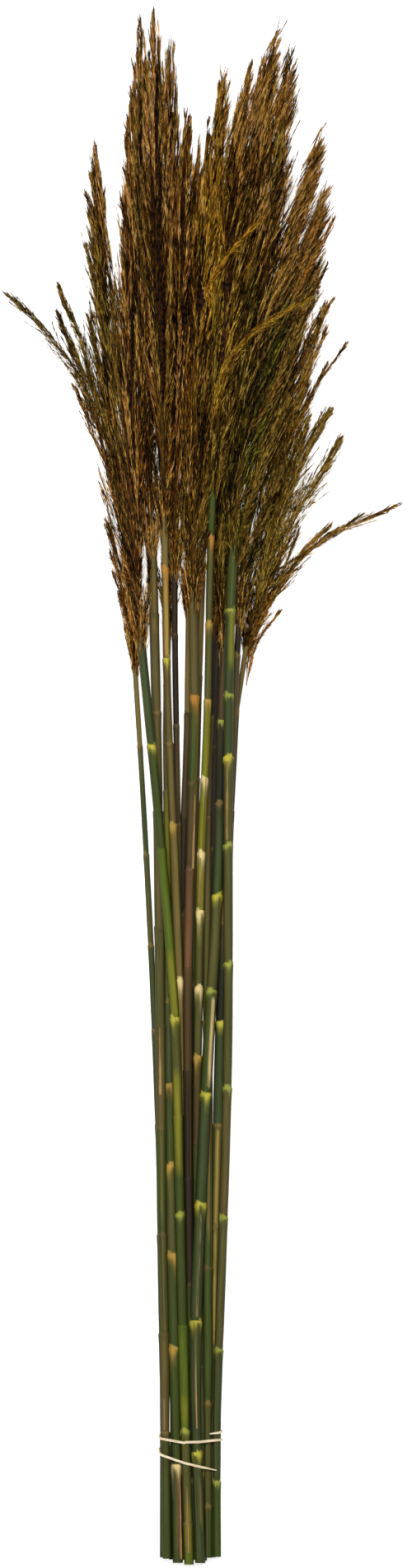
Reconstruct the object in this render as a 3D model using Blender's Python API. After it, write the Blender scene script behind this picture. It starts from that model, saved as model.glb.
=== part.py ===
"""A bunch of sixteen tall reeds, cut, tied near the foot and laid on its back.

The bunch lies along +Y: cut ends at -Y, plume tips at +Y, and its front looks up along +Z.
The surface that it lies on is z = 0, and the origin is under the middle of the bunch.
Every reed is a jointed stem that carries a plume of upright locks. The stems lie against each
other without pressing in, and a flat strand of raffia goes round them twice.
"""
from math import atan2, cos, pi, radians, sin
from random import Random
from typing import NamedTuple

import bmesh
import bpy
import numpy as np
from mathutils import Vector

# Real sizes, in metres
LENGTH = 1.500              # from the cut ends to the highest plume tip
GAP = 0.0004                # air between two neighbouring pieces
PLUME_GAP = 0.0010          # air between two neighbouring plumes
STRAND_WIDTH = 0.0023       # the raffia of the tie
STRAND_THICKNESS = 0.0010
STRAND_CLEARANCE = 0.0005   # between the strand and the stems that it bends round
FLOOR_CLEARANCE = 0.0016    # under the stems, where the tie passes
NODE_SWELL = 1.10           # a stem at its nodes, against its own radius
WAIST = 0.97                # a stem between its nodes
CORE = 0.62                 # the part of a plume's width that its neighbours can't squeeze
PLUME_MIDDLE = 0.55         # where along a plume its middle height is given
OPENING_CURVE = 2.0         # how soon a plume reaches its full width
CLOSING_CURVE = 2.1         # how late it begins to close
SHEATH_THICKNESS = 0.0007
SHEATH_TAPER = 0.75         # the part of a sheath's width that is gone at its tip
SHEATH_BEVEL = 0.80         # its upper face against its lower face
SHEATH_STOPS = (0.0, 0.25, 0.5, 0.75, 1.0)
TIGHT_LENGTH = 0.38         # from the foot, where the stems still lie close together
TIGHT_RISE = 0.10           # the part of a stem's whole rise that it makes over that length

# Rows and columns of the reference picture that give the real sizes their places
TOP_ROW = 2.0
FOOT_ROW = 1901.0
MIDDLE_COLUMN = 247.0
PIXEL = LENGTH / (FOOT_ROW - TOP_ROW)
MIDDLE_ROW = (TOP_ROW + FOOT_ROW) / 2

STEM_SIDES = 7
PLUME_SIDES = 10
STATION_STEP = 0.020        # between the places where the reeds are set against each other
SETTLING_ROUNDS = 500
SETTLING_SMOOTHED = 400     # the rounds in which the moves are evened out along the reeds
SETTLING_SIDEWAYS = 0.30    # reeds give way upwards more than sideways
LEAST_SPACE = 0.0005        # what a plume keeps where its neighbours leave it no room
PLUME_RINGS = (0.0, 0.05, 0.12, 0.21, 0.31, 0.42, 0.53, 0.64, 0.75, 0.85, 0.94)
LOCK_SHARE = 0.56           # the part of a plume's faces that carry a lock
LOCK_LENGTH = (0.030, 0.060)
LOCK_SPREAD = (0.004, 0.009)
LOCK_LEAST = 0.0010         # a lock that would stand out less than this isn't made
BARE_TIP = 0.030            # no lock reaches closer to the tip


class Reed(NamedTuple):
    """One reed. The line holds (column, row) points of the picture, the rest is in millimetres."""

    name: str
    line: tuple         # centre line from the cut end to the tip of the plume
    plume_row: float    # row where the plume begins
    rise: tuple         # height of the centre line at foot, plume base, plume middle, tip
    thick: tuple        # stem diameter at the foot and under the plume
    plume: tuple        # widest half-width of the plume, and the share of its length below that
    nodes: tuple        # rows of the stem's nodes


REEDS = (
    Reed("01", ((198, 1893), (198, 1700), (195, 1480), (187.5, 1250), (175.3, 1000), (163.5, 808),
                (157, 710), (149, 630), (140, 550), (132, 460), (125, 360), (119, 260), (117, 168)),
         808, (13, 24, 8, 14), (6.4, 4.8), (13, 0.50),
         (905, 1037, 1148, 1251, 1366, 1480, 1600, 1745)),
    Reed("02", ((230.5, 1901), (224.5, 1700), (218.5, 1470), (212, 1230), (196, 1030), (181.5, 880),
                (171.5, 779), (165, 680), (160, 560), (157, 430), (160, 320), (162, 220), (160, 106)),
         779, (23, 58, 66, 54), (8.8, 7.0), (16, 0.42),
         (905, 1030, 1236, 1355, 1475, 1610, 1738, 1850)),
    Reed("03", ((204.5, 1894), (203.5, 1740), (199, 1500), (196, 1250), (193.5, 1060), (190, 865),
                (184.5, 668), (180, 560), (176, 430), (173, 300), (172, 150), (171, 13)),
         668, (22, 42, 40, 34), (8.0, 7.8), (16, 0.42),
         (745, 864, 985, 1125, 1245, 1370, 1500, 1620, 1740)),
    Reed("04", ((222, 1896), (223, 1650), (224, 1400), (219.5, 1190), (211.5, 1000), (204.5, 860),
                (200, 640), (197, 540), (193, 420), (190, 300), (190, 180), (189, 80), (187, 2)),
         640, (14, 76, 84, 64), (7.2, 5.8), (16, 0.38),
         (690, 800, 902, 1001, 1190, 1385, 1500, 1625, 1755)),
    Reed("05", ((215.5, 1899), (212, 1700), (206, 1415), (203.5, 1211), (202.5, 980), (201.5, 900),
                (204, 760), (208, 600), (209, 450), (208, 300), (207, 150), (206, 33)),
         760, (22, 26, 12, 26), (9.6, 5.6), (16, 0.42),
         (830, 960, 1090, 1216, 1317, 1415, 1523, 1637, 1780)),
    Reed("06", ((209, 1896), (211, 1650), (213, 1400), (216, 1150), (215.3, 950), (213, 820),
                (212, 695), (215, 580), (219, 450), (222, 320), (225, 220), (229, 124)),
         695, (6, 52, 55, 46), (6.0, 5.0), (15, 0.42),
         (770, 880, 1000, 1120, 1245, 1370, 1495, 1620, 1760)),
    Reed("07", ((221, 1896), (221, 1650), (220, 1400), (220.5, 1150), (223, 1000), (227, 880),
                (229, 740), (231, 620), (234, 480), (237, 360), (239, 260), (241, 164)),
         740, (6, 30, 12, 22), (7.0, 6.0), (16, 0.42),
         (866, 990, 1110, 1235, 1360, 1490, 1625, 1765)),
    Reed("08", ((234, 1896), (231, 1650), (228, 1400), (228, 1150), (233, 970), (236.5, 850),
                (234.5, 738), (238, 620), (243, 500), (247, 380), (250, 270), (252, 145)),
         738, (14, 74, 88, 64), (8.8, 8.4), (17, 0.40),
         (845, 950, 1055, 1175, 1300, 1430, 1560, 1700, 1800)),
    Reed("09", ((233, 1896), (233, 1650), (233, 1400), (234, 1150), (239, 930), (243, 780),
                (248, 640), (253, 540), (257, 430), (261, 320), (265, 200), (269, 120), (276, 74)),
         640, (6, 50, 50, 46), (7.0, 5.6), (16, 0.42),
         (700, 820, 945, 1070, 1195, 1320, 1450, 1590, 1740)),
    Reed("10", ((246, 1897), (241, 1650), (235.5, 1390), (239, 1200), (243, 1030), (250, 890),
                (258, 595), (266, 480), (275, 360), (285, 250), (294, 150), (303, 70)),
         595, (14, 78, 84, 62), (7.8, 6.0), (16, 0.42),
         (652, 757, 850, 945, 1035, 1106, 1199, 1283, 1387, 1520, 1660, 1790)),
    Reed("11", ((253.5, 1893), (253, 1600), (253, 1350), (251, 1150), (253, 950), (256.5, 870),
                (262, 760), (272, 620), (284, 480), (298, 350), (307, 230), (313, 130), (319, 57)),
         760, (20, 36, 34, 40), (6.8, 4.6), (15, 0.42),
         (870, 992, 1115, 1240, 1366, 1540, 1705, 1830)),
    Reed("12", ((245, 1896), (246, 1650), (250, 1400), (257, 1150), (260.5, 950), (261.5, 860),
                (264, 790), (265, 700), (267, 600), (272, 470), (278, 340), (285, 220), (291, 104)),
         790, (6, 28, 9, 24), (6.2, 5.0), (16, 0.42),
         (906, 1030, 1150, 1275, 1400, 1530, 1660, 1790)),
    Reed("13", ((243, 1899), (235.5, 1650), (244.5, 1430), (255, 1230), (264, 1085), (267, 950),
                (273, 770), (281, 640), (295, 500), (308, 370), (317, 260), (321, 130), (327, 70),
                (341, 15)),
         770, (23, 52, 56, 46), (9.6, 7.4), (16, 0.42),
         (875, 975, 1087, 1203, 1328, 1462, 1605, 1765)),
    Reed("14", ((260, 1892), (260, 1740), (268, 1530), (275.5, 1300), (276.5, 1000), (277.5, 850),
                (283, 668), (292, 570), (307, 450), (323, 340), (337, 230), (343, 120), (354, 47)),
         668, (18, 70, 80, 58), (7.2, 9.2), (17, 0.38),
         (740, 843, 919, 1026, 1170, 1321, 1479, 1640, 1800)),
    Reed("15", ((257, 1893), (258, 1650), (264, 1400), (271, 1150), (281, 930), (286.5, 820),
                (290, 757), (299, 660), (318, 540), (338, 410), (358, 290), (376, 207), (394, 147)),
         757, (12, 48, 52, 44), (6.8, 6.0), (16, 0.40),
         (795, 1000, 1120, 1241, 1366, 1490, 1640, 1790)),
    Reed("16", ((256, 1892), (258, 1650), (266, 1400), (275, 1150), (284, 930), (292, 820),
                (299, 785), (319, 700), (332, 610), (343, 520), (355, 430), (368, 345), (382, 270),
                (399, 211)),
         785, (5, 26, 10, 20), (5.8, 4.4), (17, 0.25),
         (861, 985, 1110, 1240, 1365, 1495, 1640, 1780)),
)

# Long branches that stand away from their plumes: (column, row, height in millimetres)
STRAYS = {
    "01": (((112, 500, 16), (98, 462, 18), (83, 437, 20), (66, 414, 21), (48, 395, 22),
            (25, 372, 22), (2, 351, 22)),
           ((112, 478, 22), (104, 430, 26), (92, 398, 30), (80, 372, 33), (68, 336, 36)),
           ((108, 492, 12), (96, 446, 12), (84, 415, 12), (70, 385, 12)),
           ((118, 540, 16), (104, 498, 15), (86, 464, 14))),
    "16": (((330, 712, 22), (347, 695, 24), (372, 669, 26), (395, 652, 26), (443, 631, 25),
            (492, 611, 24)),
           ((312, 776, 20), (328, 757, 22), (344, 737, 24)),
           ((356, 596, 20), (376, 575, 22), (398, 551, 23), (422, 526, 24)),
           ((362, 548, 26), (378, 530, 28), (392, 510, 30), (407, 490, 30)),
           ((386, 468, 23), (397, 451, 24), (410, 431, 25), (424, 411, 26)),
           ((372, 425, 24), (384, 400, 26), (395, 378, 27), (407, 358, 27)),
           ((376, 370, 18), (386, 345, 20), (399, 317, 21)),
           ((392, 290, 20), (399, 276, 21), (408, 260, 22))),
}
STRAY_HALF_WIDTH = 0.0022
STRAY_START = 0.0035        # how far outside its plume a branch has its first full section
STRAY_STEP = 0.002
BUD_SHIFT = 0.010           # a branch's bud: how far it may lie from the middle of its face,
BUD_LIFT = 0.0015           # how far it stands out
BUD_SIZE = 0.25             # and its size against the face
STRAY_TAPER = 0.7           # the part of that width that is gone just before the tip

# Dry leaf sheaths that lie along the stems: reed, first and last row, width in millimetres
# and the side of the stem that they lie on, in degrees from +X towards +Z
SHEATHS = (
    ("08", 1055, 965, 3.4, 62),
    ("03", 1330, 1248, 4.2, 96),
    ("03", 1738, 1700, 3.6, 100),
    ("13", 1318, 1206, 3.0, 70),
    ("13", 1600, 1466, 2.8, 80),
    ("13", 1736, 1612, 2.8, 82),
    ("14", 1020, 924, 3.6, 100),
    ("10", 1100, 1042, 3.2, 96),
    ("05", 1895, 1784, 3.2, 58),
    ("02", 1888, 1806, 3.8, 92),
)

# The tie: the share of a turn that the strand has gone, and the row that it has reached there
TIE_ROUTE = ((-0.10, 1743.5), (0.0, 1739.0), (0.5, 1745.0), (0.75, 1753.0), (1.0, 1749.0),
             (1.5, 1761.0), (1.73, 1776.0), (1.97, 1787.0))
TIE_STEP = 24               # degrees between two points on a bend
TIE_END_WIDTH = 0.45        # the strand's cut ends against its full width
TIE_SPARE = 0.01            # no point of a bend lies closer than this to a cut end, in turns
TIE_ROUNDS = 3              # the loop is measured again where it has moved along the stems


def across(column):
    return (column - MIDDLE_COLUMN) * PIXEL


def along(row):
    return (MIDDLE_ROW - row) * PIXEL


def smooth(places, values, at):
    """A smooth curve through the values, read at one or more places."""
    places = np.asarray(places, float)
    values = np.asarray(values, float)
    at = np.clip(np.asarray(at, float), places[0], places[-1])
    slopes = np.gradient(values, places)
    piece = np.clip(np.searchsorted(places, at) - 1, 0, len(places) - 2)
    span = places[piece + 1] - places[piece]
    t = (at - places[piece]) / span
    return (values[piece] * (1 + 2 * t) * (1 - t) ** 2
            + values[piece + 1] * t ** 2 * (3 - 2 * t)
            + slopes[piece] * span * t * (1 - t) ** 2
            - slopes[piece + 1] * span * t ** 2 * (1 - t))


def reed_ends(reed):
    """Where the reed starts, where its plume begins and where it ends, along Y."""
    return along(reed.line[0][1]), along(reed.plume_row), along(reed.line[-1][1])


def stem_radius(reed, y):
    foot, base, _ = reed_ends(reed)
    share = np.clip((y - foot) / (base - foot), 0, 1)
    return ((1 - share) * reed.thick[0] + share * reed.thick[1]) / 2000


def plume_radius(reed, y):
    """The plume's own half-width: it opens out of the stem and closes to a point."""
    _, base, tip = reed_ends(reed)
    share = np.clip((y - base) / (tip - base), 0, 1)
    widest, fullest = reed.plume
    opening = 1 - (1 - np.clip(share / fullest, 0, 1)) ** OPENING_CURVE
    closing = 1 - np.clip((share - fullest) / (1 - fullest), 0, 1) ** CLOSING_CURVE
    slender = stem_radius(reed, base) * (1 - share)
    return slender + (widest / 1000 - slender) * opening * closing


def first_route(reed, stations):
    """The drawn centre line: across and up at every station."""
    foot, base, tip = reed_ends(reed)
    rows = [along(row) for _, row in reed.line]
    columns = [across(column) for column, _ in reed.line]
    middle = base + (tip - base) * PLUME_MIDDLE
    heights = [value / 1000 for value in reed.rise]
    x = smooth(rows, columns, stations)
    z = smooth((foot, foot + TIGHT_LENGTH, base, middle, tip),
               (heights[0], heights[0] + (heights[1] - heights[0]) * TIGHT_RISE, *heights[1:]),
               stations)
    return np.stack((x, z), axis=1)


def settle(reeds):
    """Moves the centre lines apart, station by station, until no two reeds press into each other."""
    stations = np.arange(along(FOOT_ROW), along(TOP_ROW) + STATION_STEP, STATION_STEP)
    drawn = np.stack([first_route(reed, stations) for reed in reeds])
    firm = np.zeros((len(reeds), len(stations)))
    lowest = np.zeros(firm.shape)
    there = np.zeros(firm.shape, bool)
    for number, reed in enumerate(reeds):
        _, base, tip = reed_ends(reed)
        wide = stem_radius(reed, stations) * NODE_SWELL
        firm[number] = np.where(stations < base, wide, plume_radius(reed, stations) * CORE)
        there[number] = stations < tip
        lowest[number] = firm[number] + np.where(stations < base, FLOOR_CLEARANCE, 0)
    routes = drawn.copy()
    for turn in range(SETTLING_ROUNDS):
        push = np.zeros(routes.shape)
        for a in range(len(reeds)):
            for b in range(a + 1, len(reeds)):
                apart = routes[b] - routes[a]
                distance = np.maximum(np.hypot(apart[:, 0], apart[:, 1]), 1e-6)
                lack = np.maximum(firm[a] + firm[b] + 2 * GAP - distance, 0) * (there[a] & there[b])
                step = apart / distance[:, None] * lack[:, None] / 2
                step[:, 0] *= SETTLING_SIDEWAYS
                push[a] -= step
                push[b] += step
        routes += push
        if turn < SETTLING_SMOOTHED:
            moved = routes - drawn
            moved[:, 1:-1] = (moved[:, :-2] + 2 * moved[:, 1:-1] + moved[:, 2:]) / 4
            routes = drawn + moved
        routes[:, :, 1] = np.maximum(routes[:, :, 1], lowest)
    return stations, dict(zip((reed.name for reed in reeds), routes))


STATIONS, ROUTES = settle(REEDS)


def centre(reed, y):
    """The point of the reed's centre line at y."""
    route = ROUTES[reed.name]
    return Vector((np.interp(y, STATIONS, route[:, 0]), y, np.interp(y, STATIONS, route[:, 1])))


def outward(angle):
    return Vector((cos(angle), 0, sin(angle)))


def room(reed, y, angle):
    """How far from the reed's centre line, in one direction, its own space reaches."""
    own = centre(reed, y)
    direction = outward(angle)
    free = 1.0
    if direction.z < -1e-6:
        free = own.z / -direction.z
    for other in REEDS:
        foot, base, tip = reed_ends(other)
        if other is reed or not foot - 0.001 < y < tip:
            continue
        apart = centre(other, y) - own
        distance = apart.length
        facing = direction.dot(apart) / distance
        if facing < 1e-6:
            continue
        if y < base + 0.001:
            wall = distance - float(stem_radius(other, y)) * NODE_SWELL - 2 * GAP
        else:
            mine = float(plume_radius(reed, y))
            theirs = float(plume_radius(other, y))
            wall = distance * mine / (mine + theirs) - PLUME_GAP / 2
        free = min(free, max(wall, LEAST_SPACE) / facing)
    return free


def ring(middle, radii, turn=0.0):
    """Points round a centre in the plane across Y, one for each radius."""
    step = 2 * pi / len(radii)
    return [middle + outward(turn + step * number) * radius for number, radius in enumerate(radii)]


def skin(bm, rings):
    """A closed body through a row of rings. Returns its side faces, band by band, and its last face."""
    cap = bm.faces.new([bm.verts.new(point) for point in rings[0]])
    grown = bmesh.ops.extrude_face_region(bm, geom=[cap], use_keep_orig=True)
    cap = next(item for item in grown["geom"] if isinstance(item, bmesh.types.BMFace))
    bands = []
    for number, points in enumerate(rings[1:]):
        if number:
            cap = bmesh.ops.extrude_discrete_faces(bm, faces=[cap])["faces"][0]
        for vert, point in zip(cap.verts, points):
            vert.co = point
        bands.append([next(face for face in loop.edge.link_faces if face is not cap)
                      for loop in cap.loops])
    return bands, cap


def finish(name, bm, material, smooth_sides):
    """Turns a finished bmesh into the object of one piece."""
    bmesh.ops.recalc_face_normals(bm, faces=bm.faces[:])
    mesh = bpy.data.meshes.new(name)
    bm.to_mesh(mesh)
    bm.free()
    if smooth_sides:
        mesh.shade_smooth()
        mesh.set_sharp_from_angle(angle=radians(60))
    mesh.materials.append(material)
    piece = bpy.data.objects.new(name, mesh)
    bpy.context.scene.collection.objects.link(piece)
    return piece


def surface(name, colour, roughness):
    material = bpy.data.materials.new(name)
    material.use_nodes = True
    shader = material.node_tree.nodes["Principled BSDF"]
    shader.inputs["Base Color"].default_value = (*colour, 1)
    shader.inputs["Roughness"].default_value = roughness
    shader.inputs["Metallic"].default_value = 0.0
    return material


def make_stem(reed, material):
    """A slightly bent stem, swollen at each node, cut flat at the foot."""
    foot, base, _ = reed_ends(reed)
    top = base - GAP
    nodes = sorted(along(row) for row in reed.nodes)
    stops = [(foot, WAIST)]
    for node in nodes:
        below = stops[-1][0]
        stops.append(((below + node) / 2, WAIST))
        stops.append((node, NODE_SWELL))
    stops.append((top, WAIST))
    rings = []
    for y, swell in stops:
        radius = float(stem_radius(reed, y)) * swell
        rings.append(ring(centre(reed, y), [radius] * STEM_SIDES, turn=pi / 2))
    bm = bmesh.new()
    skin(bm, rings)
    return finish("stem_" + reed.name, bm, material, True)


def stray_places(reed, points):
    """The points of a long branch from where it comes out of its plume."""
    places = [Vector((across(column), along(row), height / 1000)) for column, row, height in points]
    while len(places) > 2:
        start = places[0]
        away = start - centre(reed, start.y)
        inside = min(float(plume_radius(reed, start.y)), room(reed, start.y, atan2(away.z, away.x)))
        if away.length > inside + STRAY_START:
            break
        ahead = places[1] - start
        if ahead.length < STRAY_STEP:
            places = places[1:]
        else:
            places[0] = start + ahead.normalized() * STRAY_STEP
    return places


def grow_stray(bm, face, outwards, places):
    """A long branch: the face draws in to a bud, which is drawn out along the points to a tip."""
    face.normal_update()
    turned = face.normal.dot(outwards)
    middle = face.calc_center_median()
    shift = Vector((0, min(max((places[0] - middle).y, -BUD_SHIFT), BUD_SHIFT), 0))
    bud = middle + shift - outwards * shift.dot(outwards) + outwards * BUD_LIFT
    corners = [bud + (vert.co - middle) * BUD_SIZE for vert in face.verts]
    face = bmesh.ops.extrude_discrete_faces(bm, faces=[face])["faces"][0]
    for vert, corner in zip(face.verts, corners):
        vert.co = corner
    for number, place in enumerate(places[1:-1], 1):
        heading = (places[number + 1] - place).normalized()
        side = heading.cross(Vector((0, 0, 1))).normalized()
        upper = side.cross(heading)
        half = STRAY_HALF_WIDTH * (1 - STRAY_TAPER * number / (len(places) - 1))
        corners = [place + side * a * half + upper * b * half
                   for a, b in ((1, 1), (-1, 1), (-1, -1), (1, -1))]
        if (corners[1] - corners[0]).cross(corners[2] - corners[1]).dot(heading) * turned < 0:
            corners.reverse()
        face = bmesh.ops.extrude_discrete_faces(bm, faces=[face])["faces"][0]
        old = [vert.co.copy() for vert in face.verts]
        orders = [[corners[(start + step) % 4] for step in range(4)] for start in range(4)]
        best = min(orders, key=lambda order: sum((a - b).length for a, b in zip(old, order)))
        for vert, corner in zip(face.verts, best):
            vert.co = corner
    tip = bmesh.ops.poke(bm, faces=[face])["verts"][0]
    tip.co = places[-1]


def make_plume(reed, material):
    """A spindle that fills the reed's own space, with pointed locks all over its free sides."""
    chance = Random("plume" + reed.name)
    _, base, tip = reed_ends(reed)
    step = 2 * pi / PLUME_SIDES
    rings = []
    levels = [base + GAP + (tip - base) * share for share in PLUME_RINGS]
    for y in levels:
        radius = float(plume_radius(reed, y))
        radii = [min(radius, room(reed, y, step * number)) for number in range(PLUME_SIDES)]
        rings.append(ring(centre(reed, y), radii))
    bm = bmesh.new()
    bands, cap = skin(bm, rings)
    point = bmesh.ops.poke(bm, faces=[cap])["verts"][0]
    point.co = Vector((across(reed.line[-1][0]), tip, centre(reed, tip).z))
    free = {}
    for band in range(len(bands)):
        for number, face in enumerate(bands[band]):
            free[(band, number)] = face
    crowded = set()
    for points in STRAYS.get(reed.name, ()):
        places = stray_places(reed, points)
        key = min(free, key=lambda item: (free[item].calc_center_median() - places[0]).length)
        band, number = key
        crowded |= {(band + ahead, (number + beside) % PLUME_SIDES)
                    for ahead in (-1, 0, 1) for beside in (-1, 0, 1)}
        face = free.pop(key)
        middle = face.calc_center_median()
        grow_stray(bm, face, (middle - centre(reed, middle.y)).normalized(), places)
    for key, face in free.items():
        if key[0] == 0 or key in crowded or chance.random() > LOCK_SHARE:
            continue
        middle = face.calc_center_median()
        slender = float(plume_radius(reed, middle.y)) * 1000 / reed.plume[0]
        reach = chance.uniform(*LOCK_LENGTH) * slender
        spread = chance.uniform(*LOCK_SPREAD)
        y = middle.y + reach
        if y > tip - BARE_TIP:
            continue
        away = middle - centre(reed, middle.y)
        angle = atan2(away.z, away.x)
        outside = float(plume_radius(reed, y)) + spread * ((tip - y) / (tip - base)) ** 0.5
        limit = room(reed, y, angle) - PLUME_GAP / 2
        body = min(float(plume_radius(reed, y)), limit)
        if min(outside, limit) - body < LOCK_LEAST:
            continue
        lock = bmesh.ops.poke(bm, faces=[face])["verts"][0]
        lock.co = centre(reed, y) + outward(angle) * min(outside, limit)
    return finish("plume_" + reed.name, bm, material, False)


def hold_point(y, angle):
    """The stem that a taut loop at y touches on one side, and the middle of the strand there."""
    direction = outward(angle)
    hold = max(REEDS, key=lambda reed: centre(reed, y).dot(direction)
               + float(stem_radius(reed, y)) * NODE_SWELL)
    radius = float(stem_radius(hold, y)) * NODE_SWELL + STRAND_CLEARANCE + STRAND_THICKNESS / 2
    return hold.name, centre(hold, y) + direction * radius


def tie_bends(y):
    """The directions in which the taut loop meets the stems: the ends of each bend and points
    between them, from the right side under the bunch to the left side and back over the front."""
    fine = [-radians(number) for number in range(0, 360, 3)]
    holds = [hold_point(y, angle)[0] for angle in fine]
    kept = []
    for number, angle in enumerate(fine):
        turned = holds[number] != holds[number - 1] or holds[number] != holds[(number + 1) % len(fine)]
        if turned or not kept or kept[-1] - angle > radians(TIE_STEP):
            kept.append(angle)
    return kept


def make_tie(material):
    """The strand follows the taut loop for two turns while it runs along the stems."""
    shares = [share for share, _ in TIE_ROUTE]
    rows = [row for _, row in TIE_ROUTE]
    middle = along(sum(rows) / len(rows))
    bends = tie_bends(middle)
    angles = [angle - 2 * pi * turn for turn in (-1, 0, 1) for angle in bends]
    levels = [middle] * len(angles)
    for _ in range(TIE_ROUNDS):
        points = [hold_point(y, angle)[1] for y, angle in zip(levels, angles)]
        travelled = np.cumsum([0.0] + [(b - a).length for a, b in zip(points, points[1:])])
        gone = travelled / travelled[len(bends)] - 1
        levels = [along(np.interp(share, shares, rows)) for share in gone]
    points = np.array([hold_point(y, angle)[1] for y, angle in zip(levels, angles)])
    inner = [float(share) for share in gone if shares[0] + TIE_SPARE < share < shares[-1] - TIE_SPARE]
    rings = []
    for share in [shares[0]] + inner + [shares[-1]]:
        place = Vector([np.interp(share, gone, points[:, axis]) for axis in range(3)])
        direction = outward(float(np.interp(share, gone, angles)))
        thin = 1.0 if share in inner else TIE_END_WIDTH
        edge = Vector((0, STRAND_WIDTH / 2 * thin, 0))
        thick = direction * STRAND_THICKNESS / 2
        rings.append([place - edge + thick, place + edge + thick, place + edge - thick,
                      place - edge - thick])
    bm = bmesh.new()
    skin(bm, rings)
    return finish("tie", bm, material, False)


def make_sheath(number, reed, rows, width, angle, material):
    """A narrow dry leaf sheath that lies along its stem and ends in a point."""
    start, end = along(rows[0]), along(rows[1])
    direction = outward(radians(angle))
    side = Vector((direction.z, 0, -direction.x))
    rings = []
    for share in SHEATH_STOPS:
        y = start + (end - start) * share
        away = float(stem_radius(reed, y)) * NODE_SWELL + GAP
        half = width / 2000 * (1 - SHEATH_TAPER * share ** 2)
        low = centre(reed, y) + direction * away
        high = low + direction * SHEATH_THICKNESS
        top = side * half * SHEATH_BEVEL
        rings.append([low + side * half, high + top, high - top, low - side * half])
    bm = bmesh.new()
    skin(bm, rings)
    return finish(f"leaf_sheath_{number:02d}", bm, material, False)


def clear_scene():
    for item in list(bpy.data.objects):
        bpy.data.objects.remove(item, do_unlink=True)


def centre_on_origin(pieces):
    """Puts the origin under the middle of the whole bunch, on the surface that it lies on."""
    corners = [vert.co for piece in pieces for vert in piece.data.vertices]
    low = Vector([min(corner[axis] for corner in corners) for axis in range(3)])
    high = Vector([max(corner[axis] for corner in corners) for axis in range(3)])
    shift = Vector(((low.x + high.x) / 2, (low.y + high.y) / 2, low.z))
    for piece in pieces:
        for vert in piece.data.vertices:
            vert.co -= shift


def main():
    clear_scene()
    green = surface("reed_stem", (0.075, 0.085, 0.030), 0.45)
    brown = surface("reed_plume", (0.150, 0.085, 0.022), 0.85)
    straw = surface("dry_sheath", (0.42, 0.27, 0.12), 0.60)
    raffia = surface("raffia", (0.72, 0.62, 0.44), 0.70)
    pieces = [make_tie(raffia)]
    reeds = {reed.name: reed for reed in REEDS}
    for reed in REEDS:
        pieces.append(make_stem(reed, green))
        pieces.append(make_plume(reed, brown))
    for number, (name, first, last, width, angle) in enumerate(SHEATHS, 1):
        pieces.append(make_sheath(number, reeds[name], (first, last), width, angle, straw))
    centre_on_origin(pieces)


main()
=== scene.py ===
"""The looks of a bunch of sixteen reeds: feathery plumes, jointed stems, dry sheaths, a raffia tie.

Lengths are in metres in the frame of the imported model: +Y runs from the cut ends to the plume
tips and +Z is up. Pieces take their places and sizes from the solids that they stand for. Only
the loose brushes of the plumes have routes of their own.
"""
from math import pi, radians
from typing import NamedTuple

import bmesh
import bpy
import numpy as np
from bpy.props import FloatProperty, FloatVectorProperty, IntProperty, PointerProperty
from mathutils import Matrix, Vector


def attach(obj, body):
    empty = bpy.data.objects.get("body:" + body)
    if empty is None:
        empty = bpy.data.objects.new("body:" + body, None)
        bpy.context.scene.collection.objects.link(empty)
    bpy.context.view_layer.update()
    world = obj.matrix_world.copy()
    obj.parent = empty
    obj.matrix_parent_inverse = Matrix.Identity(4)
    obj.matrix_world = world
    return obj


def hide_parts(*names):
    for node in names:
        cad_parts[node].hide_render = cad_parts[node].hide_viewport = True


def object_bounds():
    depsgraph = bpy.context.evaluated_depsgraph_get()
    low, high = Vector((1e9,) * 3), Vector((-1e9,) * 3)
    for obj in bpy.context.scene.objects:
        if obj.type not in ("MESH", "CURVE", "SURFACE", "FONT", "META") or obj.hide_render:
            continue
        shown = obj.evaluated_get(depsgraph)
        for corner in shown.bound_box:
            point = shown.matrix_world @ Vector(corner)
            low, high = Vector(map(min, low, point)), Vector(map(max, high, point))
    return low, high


bl_info = {
    "name": "Bunch of reeds",
    "version": (1, 0, 0),
    "blender": (4, 5, 0),
    "location": "3D View > Sidebar > Reeds",
    "description": "Dresses the solids of a tied bunch of reeds",
    "category": "Object",
}

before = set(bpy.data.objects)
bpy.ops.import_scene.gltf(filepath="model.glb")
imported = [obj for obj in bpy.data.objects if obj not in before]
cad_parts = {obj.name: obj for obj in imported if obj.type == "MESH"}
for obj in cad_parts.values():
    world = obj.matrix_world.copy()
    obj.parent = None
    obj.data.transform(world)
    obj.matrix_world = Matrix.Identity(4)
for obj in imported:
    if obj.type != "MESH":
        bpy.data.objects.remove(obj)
CAD_LOW, CAD_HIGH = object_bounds()

# The reference picture: its size, and the rows of the highest tip and of the lowest cut end
PICTURE_WIDTH = 494
PICTURE_HEIGHT = 1904
TOP_ROW = 2.0
FOOT_ROW = 1901.0
PIXEL = (CAD_HIGH.y - CAD_LOW.y) / (FOOT_ROW - TOP_ROW)

MM = 0.001
LOWEST = 0.0003  # nothing dressed lies lower
TUBE_UP = (0.31, 0.0, 0.95)  # a way that no branch takes
SAME_LEVEL = 0.00002  # corners of one section differ by less
ATTRIBUTES = {1: ("FLOAT", "value"), 3: ("FLOAT_VECTOR", "vector"), 4: ("FLOAT_COLOR", "color")}

NAMES = tuple(sorted(name.split("_")[1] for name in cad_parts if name.startswith("stem_")))


def across(column):
    return (CAD_LOW.x + CAD_HIGH.x) / 2 + (column - PICTURE_WIDTH / 2) * PIXEL


def along(row):
    return CAD_HIGH.y - (row - TOP_ROW) * PIXEL


def linear(*colour):
    """A colour given as red, green and blue from 0 to 255, as the shaders count it."""
    shares = np.array(colour) / 255
    return tuple(float(share) for share in ((shares + 0.055) / 1.055) ** 2.4)


def colour(name, description, *rgb):
    return FloatVectorProperty(name=name, description=description, subtype="COLOR", size=3,
                               min=0.0, max=1.0, default=linear(*rgb))


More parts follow.
